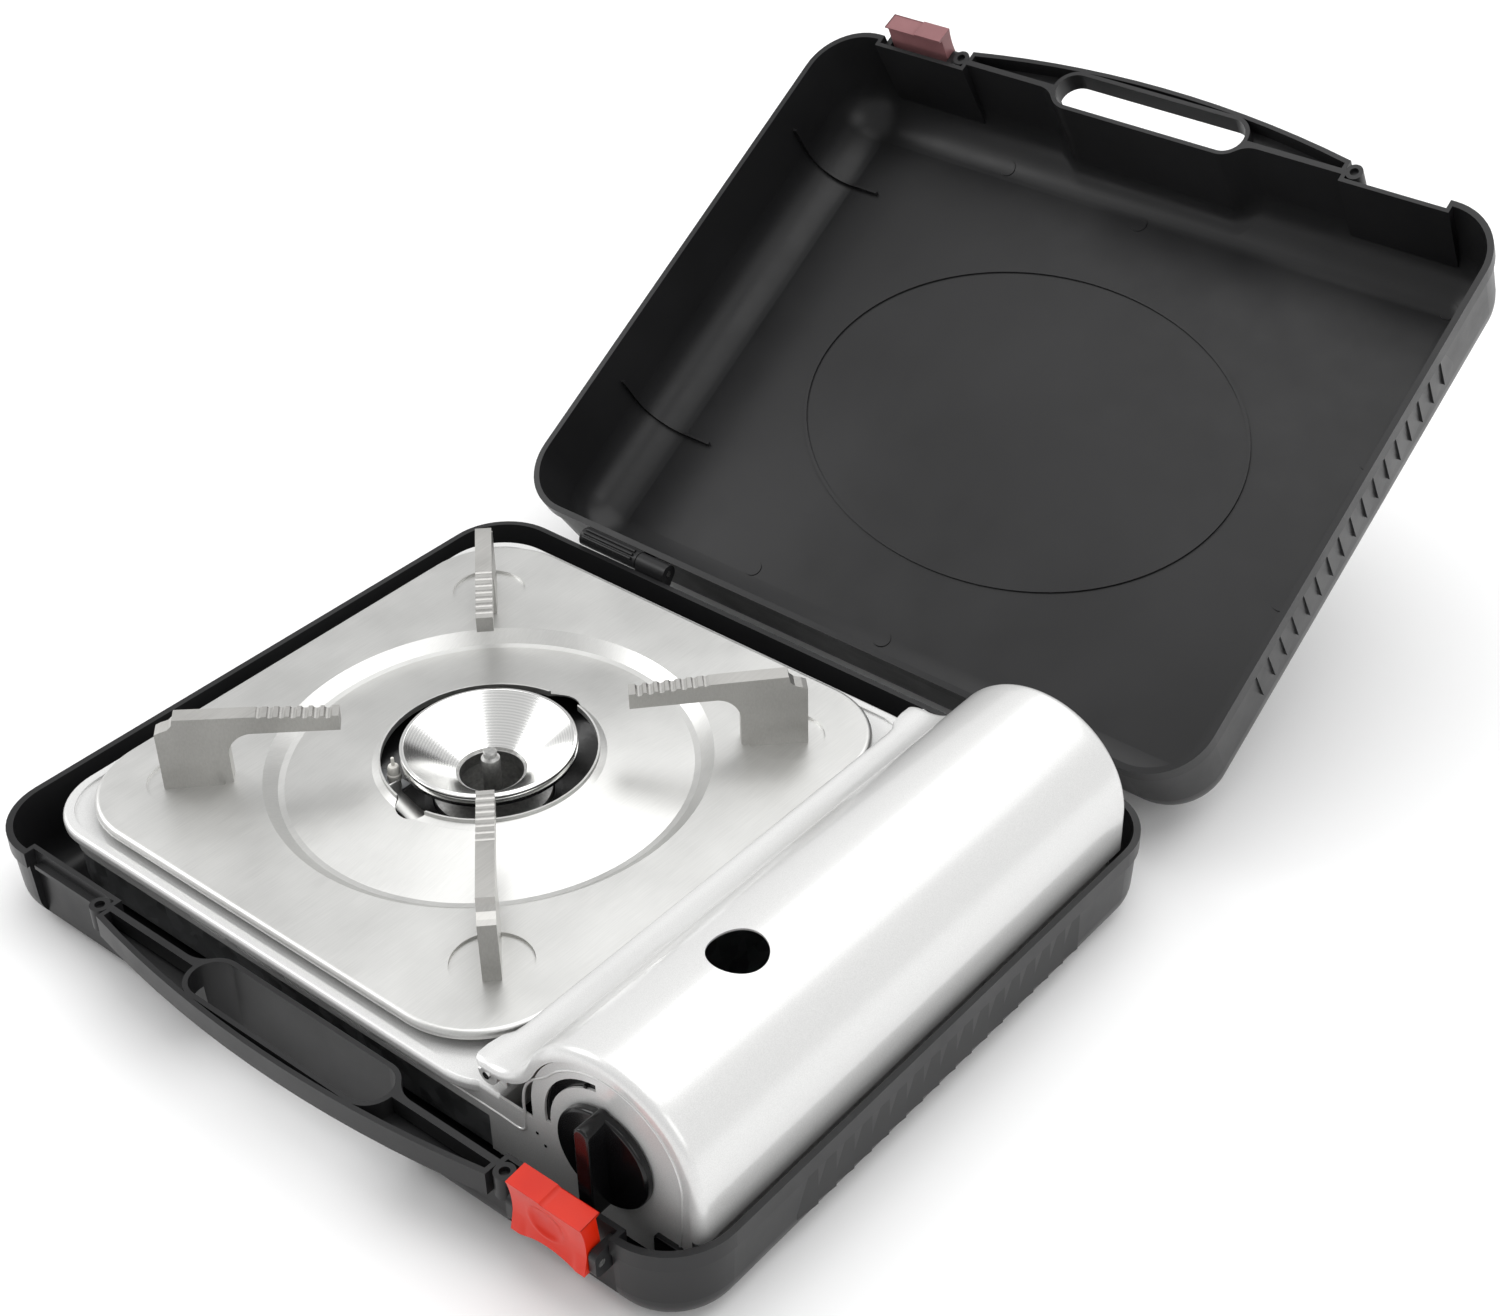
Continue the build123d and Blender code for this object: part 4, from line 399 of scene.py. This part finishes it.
def cover_section():
    """The cover's outer line seen from the front, in mm, from its skirt to its flange.

    Each place is (x, z, outward x, outward z, width of the rolled band at the cover's ends).
    """
    skirt_foot, skirt_step, skirt_steps = 32.0, 4.3, 4
    arch_steps, sweep_steps = 48, 14
    sweep_radius, flange = 20.0, 54.6
    rise = flange + sweep_radius - arch_z
    run = math.sqrt((arch_radius + sweep_radius) ** 2 - rise ** 2)
    meet = math.degrees(math.atan2(rise, -run))
    line = [(arch_x + arch_radius, skirt_foot + skirt_step * step, 1.0, 0.0, side_band)
            for step in range(skirt_steps)]
    for step in range(arch_steps + 1):
        turn = math.radians(meet * step / arch_steps)
        out_x, out_z = math.cos(turn), math.sin(turn)
        line.append((arch_x + arch_radius * out_x, arch_z + arch_radius * out_z,
                     out_x, out_z, side_band))
    # A hollow sweep leads from the arch down to the level flange.
    start, level = meet - 180, -90
    for step in range(1, sweep_steps + 1):
        turn = math.radians(start + (level - start) * step / sweep_steps)
        in_x, in_z = math.cos(turn), math.sin(turn)
        band = side_band - (side_band - flange_band) * step / sweep_steps
        line.append((arch_x - run + sweep_radius * in_x,
                     flange + sweep_radius + sweep_radius * in_z, -in_x, -in_z, band))
    # The flange's free edge is rolled down, so that it passes the drip plate as the cover opens.
    line += [(78.0, flange, 0.0, 1.0, flange_band),
             (76.8, flange - 0.2, -0.3, 0.95, flange_band),
             (75.9, flange - 0.7, -0.7, 0.7, flange_band),
             (75.4, flange - 1.5, -1.0, 0.2, flange_band)]
    return line


def cover_rows():
    """Rows across the cover from end to end, as (y in mm, share of the rolled band)."""
    half, roll_radius = 126.5, 3.6
    rows = [(half, 1.0), (half, 0.8)]
    for turn in (0, 15, 30, 45, 60, 75, 90):
        angle = math.radians(turn)
        rows.append((half - roll_radius * (1 - math.cos(angle)),
                     roll_radius / side_band * (1 - math.sin(angle))))
    rows += [(y, 0.0) for y in (118, 112, 108, 104, 60, 20)]
    return [(-y, share) for y, share in rows] + rows[::-1]


def punch_sight_hole(cover):
    """The sight hole is punched through the cover's sheet."""
    radius, length, y, z = 11, 50, -58.7, 90
    punch = bmesh.new()
    bmesh.ops.create_cone(punch, cap_ends=True, segments=64, radius1=radius / 1000,
                          radius2=radius / 1000, depth=length / 1000)
    bmesh.ops.translate(punch, verts=punch.verts, vec=metres(arch_x, y, z))
    tool = add_object("punch", mesh_from(punch, "punch"))
    cut = cover.modifiers.new("sight_hole", "BOOLEAN")
    cut.object = tool
    bpy.context.view_layer.update()
    seen = cover.evaluated_get(bpy.context.evaluated_depsgraph_get())
    punched = bpy.data.meshes.new_from_object(seen)
    cover.modifiers.clear()
    cover.data = punched
    bpy.data.objects.remove(tool)
    smooth(punched)


def canister_cover():
    """The hinged cover: one pressed sheet, arched over the canister, swept into its flange."""
    section, rows = cover_section(), cover_rows()
    tab_edge, tab_blend, tab_from, tab_run, tab_reach = 80, 4, 106, 9, 3.6
    round_from, round_share = 122, 0.12

    def point(column, row):
        x, z, out_x, out_z, band = section[column]
        y, share = rows[row]
        # Towards each end of the hinge the flange widens into a rounded tab.
        if x < tab_edge:
            tab = ramp((abs(y) - tab_from) / tab_run)
            x -= tab_reach * tab * tab * (3 - 2 * tab) * min(1.0, (tab_edge - x) / tab_blend)
            x += max(0.0, abs(y) - round_from) ** 2 * round_share
        return Vector((x - out_x * share * band, y, z - out_z * share * band)) / 1000

    shape = laid_grid(len(section), len(rows), point)
    bmesh.ops.recalc_face_normals(shape, faces=shape.faces)
    top = max(shape.faces, key=lambda face: face.calc_center_median().z)
    if top.normal.z < 0:
        bmesh.ops.reverse_faces(shape, faces=shape.faces)
    cover = piece("cover_sheet", shape, "silver_paint", "canister_cover")
    sheet = cover.modifiers.new("sheet", "SOLIDIFY")
    sheet.thickness = sheet_gauge / 1000
    punch_sight_hole(cover)
    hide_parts("canister_cover")

    # A curled lug on each end of the flange holds the hinge pin.
    pin_x, pin_z, lug_y = 79, 49.5, 122.2
    pin_radius, lug_radius, lug_width = 1.6, 4.4, 3.4
    shape = bmesh.new()
    for side in (-1, 1):
        turned(shape, ((pin_radius, 0), (lug_radius, 0), (lug_radius, lug_width),
                       (pin_radius, lug_width), (pin_radius, 0)),
               (pin_x, side * lug_y, pin_z), (0, side, 0), steps=32)
    piece("cover_lugs", shape, "silver_paint", "canister_cover")


# ---------------------------------------------------------------- latches, trim and igniter

def snap_latch(name, node, body, slot, pin, along, out):
    """A snap latch: hooked at its top, a waisted face with a thumb dish, arched at its foot.

    It is shaped in mm from its pin: x along the case, y outward, z up the latch. The pin's own
    place is in metres.
    """
    width, height, bottom, cuts = 33, 22.8, -4.6, 39
    waist_z, waist_y, flare_up, flare_down = 9.4, 2.5, 0.0118, 0.0128
    hook_z, hook_back, plain_back = 16.5, -5.9, -4.0
    dish_x, dish_z, dish_radius, dish_depth, rim_height = 1.0, 7.5, 7.5, 0.9, 0.25
    pad_x, pad_height = 10.5, 0.5
    foot_top, foot_radius, foot_centre = 3.0, 22, 19.4
    step_x, step_run = 1.5, 0.9
    lean = math.radians(6)
    up = along.cross(out)
    upright = up * math.cos(lean) + out * math.sin(lean)
    outward = upright.cross(along)
    place = Matrix((along, outward, upright)).transposed()
    shape = bmesh.new()
    bmesh.ops.create_cube(shape, size=1)
    bmesh.ops.subdivide_edges(shape, edges=shape.edges, cuts=cuts, use_grid_fill=True)
    for corner in shape.verts:
        # The cube's own places, from -0.5 to 0.5, tell its front and its top.
        side, depth, rise = corner.co
        x, z = side * width, bottom + (rise + 0.5) * height
        flare = flare_up if z > waist_z else flare_down
        front = waist_y + flare * (z - waist_z) ** 2
        back = hook_back if z > hook_z else plain_back
        y = back + (depth + 0.5) * (front - back)
        if depth > 0.49:
            # Thumb dish with a faint raised rim, and a slightly raised pad on each foot.
            far = math.hypot(x - dish_x, (z - dish_z) * 1.1) / dish_radius
            if far < 1:
                y -= dish_depth * (1 - far ** 4)
            y += rim_height * max(0.0, 1 - ((far - 1.08) / 0.12) ** 2)
            y += pad_height * ramp((abs(x) - pad_x) / 2) * ramp((foot_top - z) / 5)
        arch = max(0.0, math.sqrt(max(0.0, foot_radius ** 2 - x * x)) - foot_centre)
        z += arch * ramp((foot_top - z) / (foot_top - bottom))
        if rise > 0.49:
            # The top steps down by a millimetre over one side.
            z -= ramp((step_x - x) / step_run)
        corner.co = place @ Vector((x, y, z)) / 1000 + pin
    latch = piece(name, shape, slot, body, angle=40)
    softened = latch.modifiers.new("moulded_edges", "BEVEL")
    softened.width = 0.0003
    softened.segments = 2
    softened.angle_limit = math.radians(50)
    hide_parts(node)


def front_panel_trim():
    """The knob panel's pressed border, the dial's black backing and the pips round the dial."""
    # The border starts as the front wall's seam and follows the arch.
    face, seam, side_x, border_radius = -125.4, 32.6, 95.6, 31.8
    route = [(x, face, seam) for x in (-40, 20, 60, 84)]
    route += [(side_x, face, z) for z in (31.5, 40, 52)] + [(99.5, face, 60)]
    for turn in (148, 134, 118, 102, 86, 70, 54, 38, 22, 6):
        angle = math.radians(turn)
        route.append((arch_x + border_radius * math.cos(angle), face,
                      arch_z + border_radius * math.sin(angle)))
    route += [(165.8, face, 44), (165.2, face, 30), (163, face, 16)]
    pressed_bead("knob_panel_border", route, 0.55, "silver_paint", "stove")

    inner, outer, thickness = 21.5, 31.5, 1.4
    shape = bmesh.new()
    turned(shape, ((inner, 0), (outer, 0), (outer + 1, thickness / 2), (outer, thickness),
                   (inner, thickness), (inner, 0)),
           (arch_x, -124.3, knob_z), (0, 1, 0), steps=72)
    piece("dial_backing", shape, "knob_black", "stove")

    # Three fixing pips stand round the dial.
    pip_radius = 0.75
    shape = bmesh.new()
    for x, z in ((125.6, 73.5), (100.8, 35.4), (104.3, 31.4)):
        turned(shape, ((0, -0.35), (0.45, -0.25), (pip_radius, 0.05), (pip_radius, 0.8),
                       (0, 0.8)),
               (x, -125.5, z), (0, 1, 0), steps=24)
    piece("panel_pips", shape, "knob_black", "stove")


def hinge_ribs():
    """Moulded ribs along the lid's two knuckles, on the side that faces up when it is open."""
    ring = 4.4
    for side, hand in ((-1, "left"), (1, "right")):
        for number, turn in enumerate((5, 32, 59), start=1):
            y = hinge_y - ring * math.sin(math.radians(turn))
            z = hinge_z + ring * math.cos(math.radians(turn))
            route = [(side * x, y, z) for x in (101.5, 108, 124, 131)]
            pressed_bead(f"lid_knuckle_rib_{hand}_{number}", route, 0.8, "case_black", "lid")


def spark_holder():
    """The glazed electrode beside the burner, and the folded strip next to it."""
    body, collar, wire = 2.4, 2.9, 0.7
    shape = bmesh.new()
    turned(shape, ((0, 33.5), (body, 33.5), (body, 43.6), (collar, 44.0), (collar, 46.4),
                   (body, 46.9), (body, 49.7), (2.0, 50.4), (wire, 50.6), (wire, 54.2),
                   (0.4, 54.5), (0, 54.5)),
           (-68, -30, 0), (0, 0, 1), steps=40)
    insulator = piece("spark_insulator", shape, "ceramic", "stove")
    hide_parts("igniter_electrode")

    # The strip's fold seen from the side, as (along, up) in mm, is drawn out to its width.
    fold = ((0, 6.2), (0, 0.9), (0.3, 0.3), (0.9, 0), (18.2, 0), (18.8, -0.3), (19.1, -0.9),
            (19.1, -4.5))
    width, turn, corner = 7.8, math.radians(-12), (-62.5, -31.8, 41.1)
    shape = bmesh.new()
    line = [shape.verts.new((along / 1000, 0, up / 1000)) for along, up in fold]
    edges = [shape.edges.new(pair) for pair in zip(line, line[1:])]
    drawn = bmesh.ops.extrude_edge_only(shape, edges=edges)["geom"]
    far_side = [spot for spot in drawn if isinstance(spot, bmesh.types.BMVert)]
    bmesh.ops.translate(shape, verts=far_side, vec=(0, -width / 1000, 0))
    bmesh.ops.rotate(shape, verts=shape.verts, cent=(0, 0, 0),
                     matrix=Matrix.Rotation(turn, 3, "Z"))
    bmesh.ops.translate(shape, verts=shape.verts, vec=metres(*corner))
    bmesh.ops.recalc_face_normals(shape, faces=shape.faces)
    strip = piece("spark_strip", shape, "satin_steel", "stove")
    folded = strip.modifiers.new("sheet", "SOLIDIFY")
    folded.thickness = sheet_gauge / 1000
    folded.offset = 0
    # The burr of the blanked edge is rolled off.
    eased = strip.modifiers.new("blanked_edges", "BEVEL")
    eased.width = 0.0002


# ---------------------------------------------------------------- camera, floor and light

def studio_camera():
    """The view from the right front and above."""
    target, distance = Vector((-0.00195, 0.16003, 0.038)), 1.03302
    turn, lift = math.radians(38.22), math.radians(35.43)
    back = Vector((math.sin(turn) * math.cos(lift), -math.cos(turn) * math.cos(lift),
                   math.sin(lift)))
    data = bpy.data.cameras.new("camera")
    data.sensor_fit = "HORIZONTAL"
    data.sensor_width = 36
    data.lens = 56.87
    data.shift_x = -0.0476
    data.shift_y = -0.0172
    camera = add_object("camera", data)
    camera.location = target + back * distance
    camera.rotation_euler = (-back).to_track_quat("-Z", "Y").to_euler()
    bpy.context.scene.camera = camera


def softbox(name, place, width, power):
    """A large square area light that faces the stove."""
    target = Vector((0, 0.1, 0.05))
    data = bpy.data.lights.new(name, "AREA")
    data.shape = "RECTANGLE"
    data.size = data.size_y = width
    data.energy = power
    lamp = add_object(name, data)
    lamp.location = place
    lamp.rotation_euler = (target - Vector(place)).to_track_quat("-Z", "Y").to_euler()


def studio():
    """A pale floor, a white surround and soft light from above and from both sides."""
    shape = bmesh.new()
    bmesh.ops.create_grid(shape, x_segments=1, y_segments=1, size=4)
    floor = add_object("floor", mesh_from(shape, "floor"))
    floor.data.materials.append(floor_paint())
    world = bpy.data.worlds.new("surround")
    world.use_nodes = True
    background = world.node_tree.nodes["Background"]
    background.inputs["Color"].default_value = (1, 1, 1, 1)
    background.inputs["Strength"].default_value = 0.65
    bpy.context.scene.world = world
    bpy.context.scene.view_settings.view_transform = "Standard"
    softbox("top_light", (0.1, 0.7, 1.7), width=2.2, power=24)
    softbox("left_light", (-1.5, -0.5, 1.2), width=1.0, power=12)
    softbox("right_light", (1.6, -0.2, 1.0), width=1.0, power=5)


canister_cover()
front_panel_trim()
hinge_ribs()
spark_holder()
snap_latch("base_latch_moulding", "base_latch", "base_latch", "latch_red",
           metres(latch_x, -latch_y, tray_rim_z - latch_down),
           Vector((-1, 0, 0)), Vector((0, -1, 0)))
# The lid's latch is placed from the middle of the lid's rim, which leans back with the lid.
open_lid = math.radians(32)
lid_out = Vector((0, math.cos(open_lid), math.sin(open_lid)))
lid_up = Vector((0, -math.sin(open_lid), math.cos(open_lid)))
lid_middle = (metres(0, hinge_y, hinge_z) + lid_out * (hinge_y / 1000)
              + lid_up * (lid_rim_lift / 1000))
lid_pin = (metres(-latch_x, 0, 0) + lid_middle + lid_out * (latch_y / 1000)
           - lid_up * (latch_down / 1000))
snap_latch("lid_latch_moulding", "lid_latch", "lid_latch", "latch_rose", lid_pin,
           Vector((1, 0, 0)), lid_out)
studio_camera()
studio()
